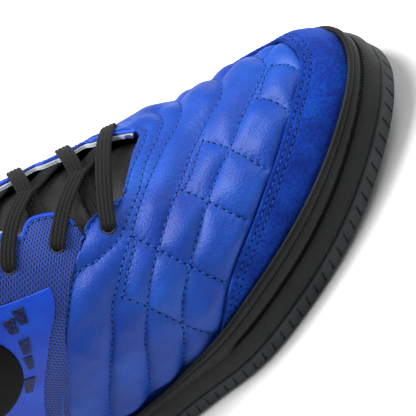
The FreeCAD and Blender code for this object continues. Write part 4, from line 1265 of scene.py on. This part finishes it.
def crown_z(x, side):
    """Height of the seam between a side panel and the shaft panel above it."""
    (x0, z0), (x1, z1) = CORNERS[side]
    share = np.clip((x - x0) / (x1 - x0), 0, 1)
    return mix(z0, z1, share) + CROWN_RISE * 4 * share * (1 - share)


def quarter_place(side, under=3.0, inset=0.0, foot=TUCK_Z):
    """Map of a side panel from its four seams; it runs a little way under the vamp."""
    def seam_front(v):
        share = side * mix(1.0, CORNER_SHARE, v)
        point, _normal = by_share(SHARE_REAR(share) + under, share)
        return vec(point[..., 0] - inset, point[..., 2])

    def seam_rear(v):
        level = mix(foot, HEEL_SEAM_Z - SEAM, v)
        point, _normal = on_level(level, side * (180 - HEEL_HALF - 0.6))
        return vec(point[..., 0] + inset, point[..., 2])

    def place(u, v):
        front, rear = seam_front(v[0]), seam_rear(v[0])
        u, v = u[..., None], v[..., None]
        bottom, straight = mix(rear[0], front[0], u), mix(rear[-1], front[-1], u)
        top = vec(straight[..., 0], crown_z(straight[..., 0], side) - inset)
        flat = mix(rear, front, u) + mix(bottom, top, v) - mix(bottom, straight, v)
        return on_side(flat[..., 0], np.maximum(flat[..., 1], foot), side)

    return place


def make_quarter(side):
    """Mesh side panel and its lining, with the smooth film, badge and tiles fused over it."""
    name = SIDES[side]
    panel(name + "_mesh", quarter_place(side), (150.0, 86.0), (200, 112), -0.05, -1.2, "mesh",
          (name + "_quarter_mesh",), woven=True)
    panel(name + "_side_lining", quarter_place(side, -4.0, 6.0, 17.0), (140.0, 76.0), (64, 32),
          LINING_OUT, LINING_IN, "lining", (name + "_quarter_lining",))
    film_front = curve_through([(40, 22), (49, 21), (72, 9), (94, 0), (117, -7), (130, -10)])
    film_rear = curve_through([(40, -18), (130, -46)])

    def film(u, v):
        angle = mix(46, 124, u)
        station = mix(film_rear(angle), film_front(angle), v)
        return on_ring(station, side * (angle - 7.0 * (1 - v) * (1 - u)))

    panel(name + "_smooth_film", film, (84.0, 34.0), (120, 52), 0.42, -0.1, "film",
          (name + "_film",), roll=0.5, woven=True)

    def badge(u, v):
        a, b = 2 * u - 1, 2 * v - 1
        across, along = a * np.sqrt(1 - b * b / 2), b * np.sqrt(1 - a * a / 2)
        return on_ring(-18.8 + 14.5 * along - 8.5 * across, side * (88 + 33 * across))

    def dome(points, u, v):
        return 1.0 + 0.6 * (1 - (2 * u - 1) ** 4) * (1 - (2 * v - 1) ** 4)

    panel(name + "_badge_patch", badge, (64.0, 29.0), (80, 40), dome, 0.2, "badge",
          (name + "_badge",), roll=0.8)
    for number, tile in enumerate(TILES, start=1):
        make_tile("%s_tile_%d" % (name, number), side, *tile)


# Moulded tiles on the film: middle station and angle, half sizes, lean.
TILES = [(8.2, 52, 1.7, 4.4, 0.15), (3.6, 55, 1.8, 4.2, 0.15), (2.6, 69, 1.5, 4.8, 0.25),
         (-0.1, 80, 1.1, 4.4, 0.2), (-4.9, 96, 1.3, 5.4, 0.3)]


def make_tile(name, side, station, angle, half_station, half_angle, lean):
    """One raised tile, narrower at one end."""
    def place(u, v):
        across = half_angle * (2 * u - 1)
        along = half_station * (2 * v - 1) * (1 - 0.25 * (2 * u - 1))
        return on_ring(station + along - lean * across, side * (angle + across))

    panel(name, place, (6.0, 5.0), (16, 16), 0.85, 0.2, "tile",
          (SIDES[side] + "_tiles",), roll=0.3)


# ---------------------------------------------------------------- lace facings

FACING_TOP_ANGLE, FACING_TOP_DROP = 22, 1.5
FUSED_END = -24.0
FACING_LIFT, FACING_UNDER = 0.95, -0.2
BACKING_FRONT = {-1: 24.0, 1: 60.0}
RAW_EDGE_FRONT = {-1: 24.0, 1: 62.0}


def facing_top(side):
    """Ring station at which a facing ends, a little below the collar's height."""
    low, high = -125.0, -40.0
    for _ in range(18):
        middle = (low + high) / 2
        point, _normal = on_ring(middle, side * FACING_TOP_ANGLE)
        too_high = point[2] > COLLAR_Z - FACING_TOP_DROP
        low, high = (middle, high) if too_high else (low, middle)
    return low


def hole_rows(side):
    """Places and directions of one side's lace holes."""
    stations = np.array(HOLES[side])
    return on_ring(stations, side * HOLE_ANGLE[side](stations))


def notch(station, side):
    """0 at a lace hole, rising to 1 midway between two of them."""
    number = np.interp(-station, -np.array(HOLES[side]), np.arange(HOLE_COUNT))
    return (0.5 - 0.5 * np.cos(2 * np.pi * number)) ** 3


def facing_inner(station, side):
    """Angle of the facing's scalloped inner edge."""
    return INNER_ANGLE[side](station) + 6.0 * notch(station, side)


def make_facing(side):
    """Strip that holds the lace holes: scalloped inner edge, fused border, pits for the holes."""
    name = SIDES[side]
    top = facing_top(side)
    centres, _normals = hole_rows(side)
    look = "mesh" if side < 0 else "royal_leather"

    def place(u, v):
        station = mix(FACING_FRONT[side], top, v)
        near, far = facing_inner(station, side), OUTER_ANGLE[side](station)
        return on_ring(station, side * mix(near, far, u))

    def relief(points, u, v):
        lift = FACING_LIFT + 0.1 * noise_field(points, 14.0, 5.0)
        station = mix(FACING_FRONT[side], top, v)
        fused = smooth_step(FUSED_END, FUSED_END + 14.0, station) if side < 0 else 0.0
        lift = mix(lift, -0.02, fused * smooth_step(0.5, 0.95, u))
        for centre in centres:
            lift = lift - pit(points, centre, 1.5)
        return lift

    panel(name + "_facing", place, (22.0, 170.0), (44, 300), relief, FACING_UNDER, look,
          (name + "_eyestay",), roll=0.7, stride=1, woven=side < 0)
    inner = np.linspace(FACING_FRONT[side] - 0.6, top + 0.6, 260)
    outer = np.linspace(FUSED_END if side < 0 else FACING_FRONT[side] - 0.6, top + 0.6, 200)
    rows = []
    for label, at, angle, inwards, width, seam in (
            ("_inner_border", inner, facing_inner(inner, side), -1.3, 1.7, 3.4),
            ("_outer_border", outer, OUTER_ANGLE[side](outer), 1.2, 2.0, -3.2)):
        points, normals = on_ring(at, side * (angle - inwards))
        strip(name + label, points, normals, width, 0.5, 1.2, "film")
        rows.append(on_ring(at, side * (angle + seam)))
    stitch_rows(name + "_facing_stitch", rows, [name + "_facing"], half_width=0.26, pitch=2.6)
    make_hole_rims(side)


RIM_TURNS, RIM_SIDES, RIM_RADIUS, RIM_TUBE = 28, 8, 2.45, 0.2


def make_hole_rims(side):
    """Raw edge round each lace hole and the dark space inside it."""
    centres, normals = hole_rows(side)
    rim = []
    for i in range(RIM_TURNS):
        a = 2 * math.pi * i / RIM_TURNS
        for j in range(RIM_SIDES):
            b = 2 * math.pi * j / RIM_SIDES
            reach = RIM_RADIUS + RIM_TUBE * math.cos(b)
            rim.append((reach * math.cos(a), reach * math.sin(a), RIM_TUBE * math.sin(b)))
    faces = tube_faces(RIM_TURNS, RIM_SIDES, looped=True, flip=True)
    disc = bead_shape(2.4, 2.4, 0.25, rings=9, sides=20)
    ahead = np.gradient(centres, axis=0)
    for label, shape, lift, look in (("_hole_rims", (np.array(rim), faces), 0.8, "hole_edge"),
                                     ("_hole_shadows", disc, -0.25, "lining")):
        points, lots = copies(*shape, centres + normals * lift, ahead, normals)
        make_piece(SIDES[side] + label, points, lots, look)


def make_facing_backing(side):
    """Dark strip behind the facing, and the pale raw edge that shows beside it in the throat."""
    top = facing_top(side)

    def place(u, v):
        station = mix(BACKING_FRONT[side], top, v)
        near = facing_inner(station, side) - 0.5
        return on_ring(station, side * mix(near, OUTER_ANGLE[side](station) - 8.0, u))

    panel(SIDES[side] + "_facing_backing", place, (16.0, 150.0), (16, 200), -0.1, -1.3,
          "lining", (SIDES[side] + "_eyestay_backing",), roll=0.4, stride=1)
    station = np.linspace(RAW_EDGE_FRONT[side], top, 260)
    points, normals = on_ring(station, side * (facing_inner(station, side) - 0.6))
    strip(SIDES[side] + "_raw_edge", points, normals, 1.6, -1.4, -0.05, "raw_edge")


# ---------------------------------------------------------------- laces

LACE_WIDTH, LACE_THICK = 6.6, 1.3
OVER_FACING = 1.45
UNDER_FACING = -2.95
LACE_DIP = -3.2
LACE_TIP = 1.9
RUN_STEPS, LACE_RIBS, RIB_SWELL = 72, 4, 0.16
SHOT_DEPTH = 12.0


def lace_lift(share, under_start, raise_mid):
    """Underside of a lace run above the skin, from its first hole to its last."""
    if under_start:
        level = mix(UNDER_FACING, OVER_FACING, smooth_step(0.3, 0.78, share))
    else:
        level = OVER_FACING + 0 * share
    return level + raise_mid * np.exp(-((share - 0.5) / 0.09) ** 2)


def into_hole(beyond, half):
    """Drop and half width of a lace by its distance beyond a hole's middle, negative before it."""
    drop = LACE_DIP * smooth_step(-0.6, LACE_TIP, beyond) ** 1.4
    round_off = np.clip((beyond + 1.6) / (LACE_TIP + 2.1), 0, 0.97)
    return drop, half * np.sqrt(1 - round_off ** 2)


def lace_section():
    """Section of the lace: places across it from -1 to 1 and heights from its middle."""
    columns = np.linspace(-1, 1, LACE_RIBS * 6 + 1)
    swell = RIB_SWELL * np.cos(np.pi * LACE_RIBS * (columns + 1) + np.pi)
    half = 0.5 * LACE_THICK * np.sqrt(np.clip(1 - np.abs(columns) ** 5, 0.04, 1))
    return list(zip(columns, half + swell)) + list(zip(columns[::-1], -half))


def lace_run(name, start, finish, under_start, raise_mid):
    """One flat braided run between two holes: lengthwise ribs, narrowing into the holes."""
    holes = {side: hole_rows(side) for side in SIDES}
    first, last = (holes[side][0][k] for side, k in (start, finish))
    up = sum(holes[side][1][k] for side, k in (start, finish))
    span = last - first
    up = unit(up - span * np.dot(up, span) / np.dot(span, span))
    extra = LACE_TIP / np.linalg.norm(span)
    share = np.linspace(0 if under_start else -extra, 1 + extra, RUN_STEPS)
    chord = first + span * share[:, None]
    points, normals = shoot(chord - up * SHOT_DEPTH, np.broadcast_to(up, chord.shape))
    across = np.cross(normals, unit(np.gradient(points, axis=0)))
    drop, half = into_hole((share - 1) / extra * LACE_TIP, LACE_WIDTH / 2)
    base = lace_lift(share, under_start, raise_mid) + drop
    if not under_start:
        drop, half = into_hole(-share / extra * LACE_TIP, half)
        base = base + drop
    section = lace_section()
    middle = base + LACE_THICK / 2
    net = np.stack([points + across * (half * c)[:, None] + normals * (middle + t)[:, None]
                    for c, t in section], axis=1)
    flat = vec([c * LACE_WIDTH / 2 for c, _ in section], run_length(points)[:, None])
    make_piece(name, net.reshape(-1, 3), tube_faces(*net.shape[:2]), "lace_braid",
               ("lace",), flat.reshape(-1, 2))


def make_laces():
    """A straight bar at the toe end, then crossed runs up to the collar."""
    lace_run("lace_bar", (-1, 0), (1, 0), False, 0.0)
    for k in range(HOLE_COUNT - 1):
        lace_run("lace_far_to_near_%d" % (k + 1), (1, k), (-1, k + 1), True, 1.1)
        lace_run("lace_near_to_far_%d" % (k + 1), (-1, k), (1, k + 1), True, -0.9)


# ---------------------------------------------------------------- shaft, heel and collar

def front_seam(side):
    """Angle of the shaft panel's front edge, under the facing, by height."""
    station = np.linspace(0, -90, 9)
    points, _normals = on_ring(station, side * (OUTER_ANGLE[side](station) - 7.0))
    middle = (leg_front(points[:, 2]) + leg_back(points[:, 2])) / 2
    angle = np.degrees(np.arctan2(np.abs(points[:, 1] - LEG_Y), points[:, 0] - middle))
    return curve_through(sorted(zip(points[:, 2], angle)))


FRONT_SEAM = {side: front_seam(side) for side in (-1, 1)}
BACK_SEAM = 177.5


def shaft_place(side):
    """Map of a shaft panel by height and angle."""
    def place(u, v):
        angle = mix(FRONT_SEAM[side](98.0), BACK_SEAM, u)
        for _ in range(3):
            base = np.full(angle.shape, 97.0)
            for _ in range(5):
                point, _normal = on_level(base, side * angle)
                base = np.maximum(HEEL_SEAM_Z, crown_z(point[..., 0], side)) + SEAM
            z = mix(base, collar_z(angle) - 0.4, v)
            angle = mix(FRONT_SEAM[side](z), BACK_SEAM, u)
        return on_level(z, side * angle)
    return place


def level_row(heights, first, last, side):
    """Line round the leg through given heights, from one angle to another."""
    share = np.linspace(0, 1, 120)
    height = curve_through([(k / (len(heights) - 1), z) for k, z in enumerate(heights)])
    return on_level(height(share), side * mix(first, last, share))


SHAFT_ROWS = [[104, 113, 121, 124, 121, 116], [126, 136, 144, 147, 144, 138],
              [146, 156, 163, 166, 164, 159], [172, 177, 179, 179, 178, 176]]


def make_shaft(side):
    """Quilted ankle panel, the lining inside it, and the lining ahead of the collar's pad."""
    name = SIDES[side]
    lines = [level_row(heights, 48, 176, side) for heights in SHAFT_ROWS]

    def relief(points, u, v):
        puff, ripple = quilt(points, [line[0] for line in lines])
        z = points[..., 2]
        collar = smooth_step(176.0, 184.0, z) * smooth_step(199.0, 190.0, z)
        edge = smooth_step(0.0, 0.05, u) * smooth_step(0.0, 0.04, v) * smooth_step(0.915, 0.87, u)
        return -0.5 + (1.9 * puff + 0.9 * collar) * edge + ripple

    shaft = panel(name + "_shaft_quilted", shaft_place(side), (125.0, 100.0), (200, 160), relief,
                  -1.2, "royal_leather", (name + "_shaft_panel",), roll=0.8)
    stitch_rows(name + "_shaft_stitch", lines, [name + "_shaft_quilted"])

    def lining(u, v):
        return on_level(mix(100, 148.6, v), side * mix(46, 178, u))

    panel(name + "_ankle_lining", lining, (110.0, 41.0), (64, 32), LINING_OUT, LINING_IN,
          "lining", (name + "_shaft_lining",))

    def front(u, v):
        height = mix(102.0, collar_z(40) - 1.2, v)
        return on_level(height, side * mix(28.5, 47.5, u))

    panel(name + "_front_lining", front, (17.0, 92.0), (18, 60), -1.32, -1.9, "lining",
          roll=0.3, stride=1)


def heel_band(half, low, top_mid, top_side):
    """Map of a band round the heel, its top edge falling away from the middle."""
    def place(u, v):
        offset = mix(-half, half, u)
        top = mix(top_mid, top_side, (offset / half) ** 2)
        return on_level(mix(low, top, v), 180 + offset)
    return place


COVER_HALF, COVER_TOP, COVER_SIDE = 76, 76, 40
STAY_HALF, STAY_FOOT, STAY_SEAM = 11.5, 77.5, 8.6


def make_heel():
    """Leather heel panel, suede cover with two stitch rows, back stay and lining."""
    def soft(points, u, v):
        return -0.05 + 0.1 * noise_field(points, 16.0, 8.0)

    panel("heel_leather", heel_band(HEEL_HALF, TUCK_Z, HEEL_SEAM_Z - SEAM, HEEL_SEAM_Z - SEAM),
          (120.0, 77.0), (120, 80), soft, -1.2, "royal_leather",
          ("heel_panel",))

    panel("heel_cover_suede", heel_band(COVER_HALF, TUCK_Z, COVER_TOP, COVER_SIDE),
          (150.0, 60.0), (200, 92), nap, 0.1, "suede", ("heel_cover",), roll=0.8)
    offset = np.linspace(-75, 75, 180)
    top = mix(COVER_TOP, COVER_SIDE, (offset / COVER_HALF) ** 2)
    rows = [on_level(top - below, 180 + offset) for below in (2.2, 4.6)]
    stitch_rows("heel_cover_stitch", rows, ["heel_cover_suede"], half_width=0.33)

    def stay(u, v):
        height = mix(STAY_FOOT, collar_z(180) - 1.0, v)
        return on_level(height, 180 + mix(-STAY_HALF, STAY_HALF, u))

    panel("back_stay_suede", stay, (17.0, 120.0), (32, 152), nap, -0.3, "suede",
          ("back_stay",), roll=0.7)
    height = np.linspace(79.5, collar_z(180) - 3.5, 90)
    rows = [on_level(height, 180 + lean) for lean in (-STAY_SEAM, STAY_SEAM)]
    stitch_rows("back_stay_stitch", rows, ["back_stay_suede"], half_width=0.33)
    panel("heel_cup_lining", heel_band(66, 16.2, 96, 96), (125.0, 80.0), (64, 40), -2.75, -3.7,
          "lining", ("heel_lining",))


COLLAR_NET, TONGUE_NET = (96, 24), (34, 84)
PAD_FRONT, PAD_FOOT = 46, 149
BINDING_OUT, BINDING_IN, BINDING_OVER_PAD = 1.2, 1.2, 5.4
BINDING_RISE, BINDING_FALL, BINDING_SIDES = 2.3, 0.9, 14


def make_collar():
    """Padded collar inside the shaft and the rolled binding on its edge."""
    def place(u, v):
        angle = mix(PAD_FRONT, 360 - PAD_FRONT, u)
        return on_level(mix(PAD_FOOT, collar_z(angle) - 0.4, v), angle)

    def under(points, u, v):
        fat = np.sin(np.pi * np.clip(v, 0, 1)) ** 0.6
        ends = smooth_step(0.0, 0.05, u) * smooth_step(1.0, 0.95, u)
        return -2.2 - 3.6 * fat * ends - 0.25 * noise_field(points, 13.0, 4.0)

    pad = panel("collar_pad", place, (220.0, 49.0), COLLAR_NET, -1.35, under, "lining",
                ("collar_padding", "collar_lining"), stride=1)
    fill_pad(pad, COLLAR_NET, 2.0)
    angle = np.linspace(26, 334, 260)
    over_pad = smooth_step(56, 82, np.minimum(angle, 360 - angle))
    deep = mix(BINDING_IN, BINDING_OVER_PAD, over_pad)
    points, normals = on_level(collar_z(angle), angle)
    rows = []
    for k in range(BINDING_SIDES):
        turn = 2 * math.pi * k / BINDING_SIDES
        lift = mix(BINDING_OUT, -deep, 0.5 - 0.5 * math.cos(turn))
        rise = (BINDING_RISE if math.sin(turn) > 0 else BINDING_FALL) * math.sin(turn)
        rows.append(points + normals * lift[:, None] + np.array([0, 0, rise + 0.2]))
    net = np.stack(rows, axis=1)
    make_piece("rolled_binding", net.reshape(-1, 3), tube_faces(*net.shape[:2]), "binding",
               ("collar_binding",))
    row = on_level(collar_z(angle) - 1.6, angle)
    stitch_rows("binding_stitch", [row], ["rolled_binding", "lateral_shaft_quilted",
                                          "medial_shaft_quilted"], half_width=0.28)


# ---------------------------------------------------------------- tongue and tab

TONGUE_UPPER = [(-110, 24), (-80, 27), (-40, 33), (0, 38)]
TONGUE_LEFT = curve_through(TONGUE_UPPER + [(30, 40), (45, 36), (60, 27)])
TONGUE_RIGHT = curve_through(TONGUE_UPPER + [(30, 48), (45, 50), (60, 42)])
TAB_TALL, TAB_DEPTH, TAB_WALL, TAB_WIDTH = 34.0, 5.6, 1.5, 16.0
TAB_GAP, TAB_BELOW_COLLAR = 0.8, 14.0
TAB_RIBS, TAB_RIB_HEIGHT, TAB_EDGE = 7, 0.09, 0.22


def make_tongue():
    """Padded tongue: smooth dark leather over foam, with its lining."""
    def place(u, v):
        front = np.maximum(SHARE_REAR(mix(-0.2, 0.31, u)), 52.0) + 2.5
        station = mix(front, -107.0, v)
        return on_ring(station, mix(-TONGUE_LEFT(station), TONGUE_RIGHT(station), u))

    def relief(points, u, v):
        across = smooth_step(0.0, 0.16, u) * smooth_step(1.0, 0.84, u)
        creases = 0.35 * noise_field(points * np.array([1.0, 0.35, 1.0]), 9.0, 6.0)
        return -5.3 + 0.7 * across * smooth_step(0.0, 0.06, v) + creases * across

    def under(points, u, v):
        across = smooth_step(0.0, 0.12, u) * smooth_step(1.0, 0.88, u)
        return -7.6 - 2.4 * across * smooth_step(1.0, 0.96, v)

    pad = panel("tongue_pad", place, (72.0, 190.0), TONGUE_NET, relief, under, "tongue_leather",
                ("tongue_leather", "tongue_foam", "tongue_lining"), roll=1.2,
                stride=1, body="tongue", drop=1.0)
    fill_pad(pad, TONGUE_NET, 1.4)


def tab_ring(radius):
    """Upright loop of the tab at one distance from its middle line, as x and z."""
    arc = np.linspace(0, np.pi, 15)
    foot, head = TAB_DEPTH / 2, TAB_TALL - TAB_DEPTH / 2
    rise = np.linspace(0, 1, 20)[1:-1]
    return np.vstack([vec(radius * np.cos(arc), head + radius * np.sin(arc)),
                      vec(-radius, mix(head, foot, rise)),
                      vec(-radius * np.cos(arc), foot - radius * np.sin(arc)),
                      vec(radius, mix(foot, head, rise))])


def make_pull_tab():
    """Folded webbing loop behind the collar, sewn at its foot."""
    back, _normal = on_level(COLLAR_Z + 2.6, 180)
    centre = np.array([back[0] - BINDING_OUT - TAB_DEPTH / 2 - TAB_GAP, LEG_Y,
                       COLLAR_Z - TAB_BELOW_COLLAR])
    outer, inner = tab_ring(TAB_DEPTH / 2), tab_ring(TAB_DEPTH / 2 - TAB_WALL)
    columns = np.linspace(-0.5, 0.5, 17)
    rounded = TAB_EDGE * np.clip((np.abs(columns) - 0.42) / 0.08, 0, 1) ** 2
    ribs = TAB_RIB_HEIGHT * np.cos(columns * 2 * np.pi * TAB_RIBS)
    middle = (outer + inner) / 2
    out = unit(outer - middle)
    net = [(outer - out * (cut - rib), c) for c, cut, rib in zip(columns, rounded, ribs)]
    net += [(inner + out * (cut - rib * 0.5), c)
            for c, cut, rib in zip(columns[::-1], rounded[::-1], ribs[::-1])]
    points = np.stack([vec(p[:, 0], c * TAB_WIDTH, p[:, 1]) for p, c in net], axis=1) + centre
    faces = tube_faces(*points.shape[:2], looped=True)
    flat = vec([c * TAB_WIDTH for _, c in net], run_length(middle)[:, None])
    make_piece("pull_loop", points.reshape(-1, 3), faces, "webbing", ("pull_tab",),
               flat.reshape(-1, 2), body="pull_tab")


# Looks: the maker, its colour codes from dark to light, then its own settings in their order.
LOOKS = {
    "royal_leather": (leather, "0A3492", "1142A2", "1950B2", 0.8, 0.32, (0.46, 0.6), 0.25),
    "tongue_leather": (leather, "171718", "212122", "2D2D2E", 0.9, 0.2, (0.38, 0.5), 0.35),
    "badge": (leather, "040405", "08080A", "0D0D10", 0.5, 0.04, (0.5, 0.6), 0.08),
    "suede": (suede,),
    "mesh": (mesh_fabric,),
    "film": (film_skin,),
    "thread": (braid, "1B55AC", "559CE0", 0.5),
    "cap_thread": (braid, "0E4096", "2C70C6", 0.5),
    "lace_braid": (braid, "020203", "1E1E20", 1.0),
    "webbing": (braid, "10141F", "2A3248", 1.3),
    # painted shade inside the needle holes
    "needle_hole": (cloth, "05081A", "0A1230", 0.3),
    "lining": (cloth, "0D0D0F", "1C1C1F", 0.6),
    "binding": (cloth, "101012", "242427", 0.45),
    "sock": (cloth, "15171C", "282B33", 0.7),
    "wall_rubber": (rubber, "0B0C0D", "151718", 24),
    "outsole_rubber": (rubber, "232628", "35393B"),
    "tile": (speckled, "060B28", "1C3A90"),
    "hole_edge": (board_stock, "35332F", "57524A", 0.0, (0.8, 0.95), 1500.0),
    "raw_edge": (board_stock, "7D848B", "B4B9BE", 0.0, (0.8, 0.95), 1500.0),
    "foam": (board_stock, "C9C4B4", "E2DDCB", 0.0, (0.8, 0.95), 900.0),
    "board": (board_stock, "8C7A5C", "B29C74", 0.0, (0.7, 0.85), 500.0),
    "steel": (board_stock, "7C8086", "A9ADB3", 1.0, (0.25, 0.4), 700.0),
    "stiffener": (board_stock, "B9B4A6", "D4CFC0", 0.0, (0.6, 0.8), 600.0),
}

CARRIED = {"outsole": "outsole_rubber", "shank": "steel", "midsole_foam": "foam",
           "lasting_board": "board", "sockliner": "sock", "vamp_lining": "lining",
           "toe_puff": "stiffener", "heel_counter": "stiffener"}


def finish_carried():
    """Materials for the pieces that are shown as they were packed."""
    for name, look in CARRIED.items():
        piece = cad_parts[name]
        piece.data.materials.clear()
        piece.data.materials.append(finish_of(look))


make_camera()
make_studio()
make_wall()
make_tread_edge()
make_channel_thread()
make_vamp()
make_toe_cap()
for boot_side in (-1, 1):
    make_quarter(boot_side)
    make_facing(boot_side)
    make_facing_backing(boot_side)
    make_shaft(boot_side)
make_laces()
make_heel()
make_collar()
make_tongue()
make_pull_tab()
finish_carried()
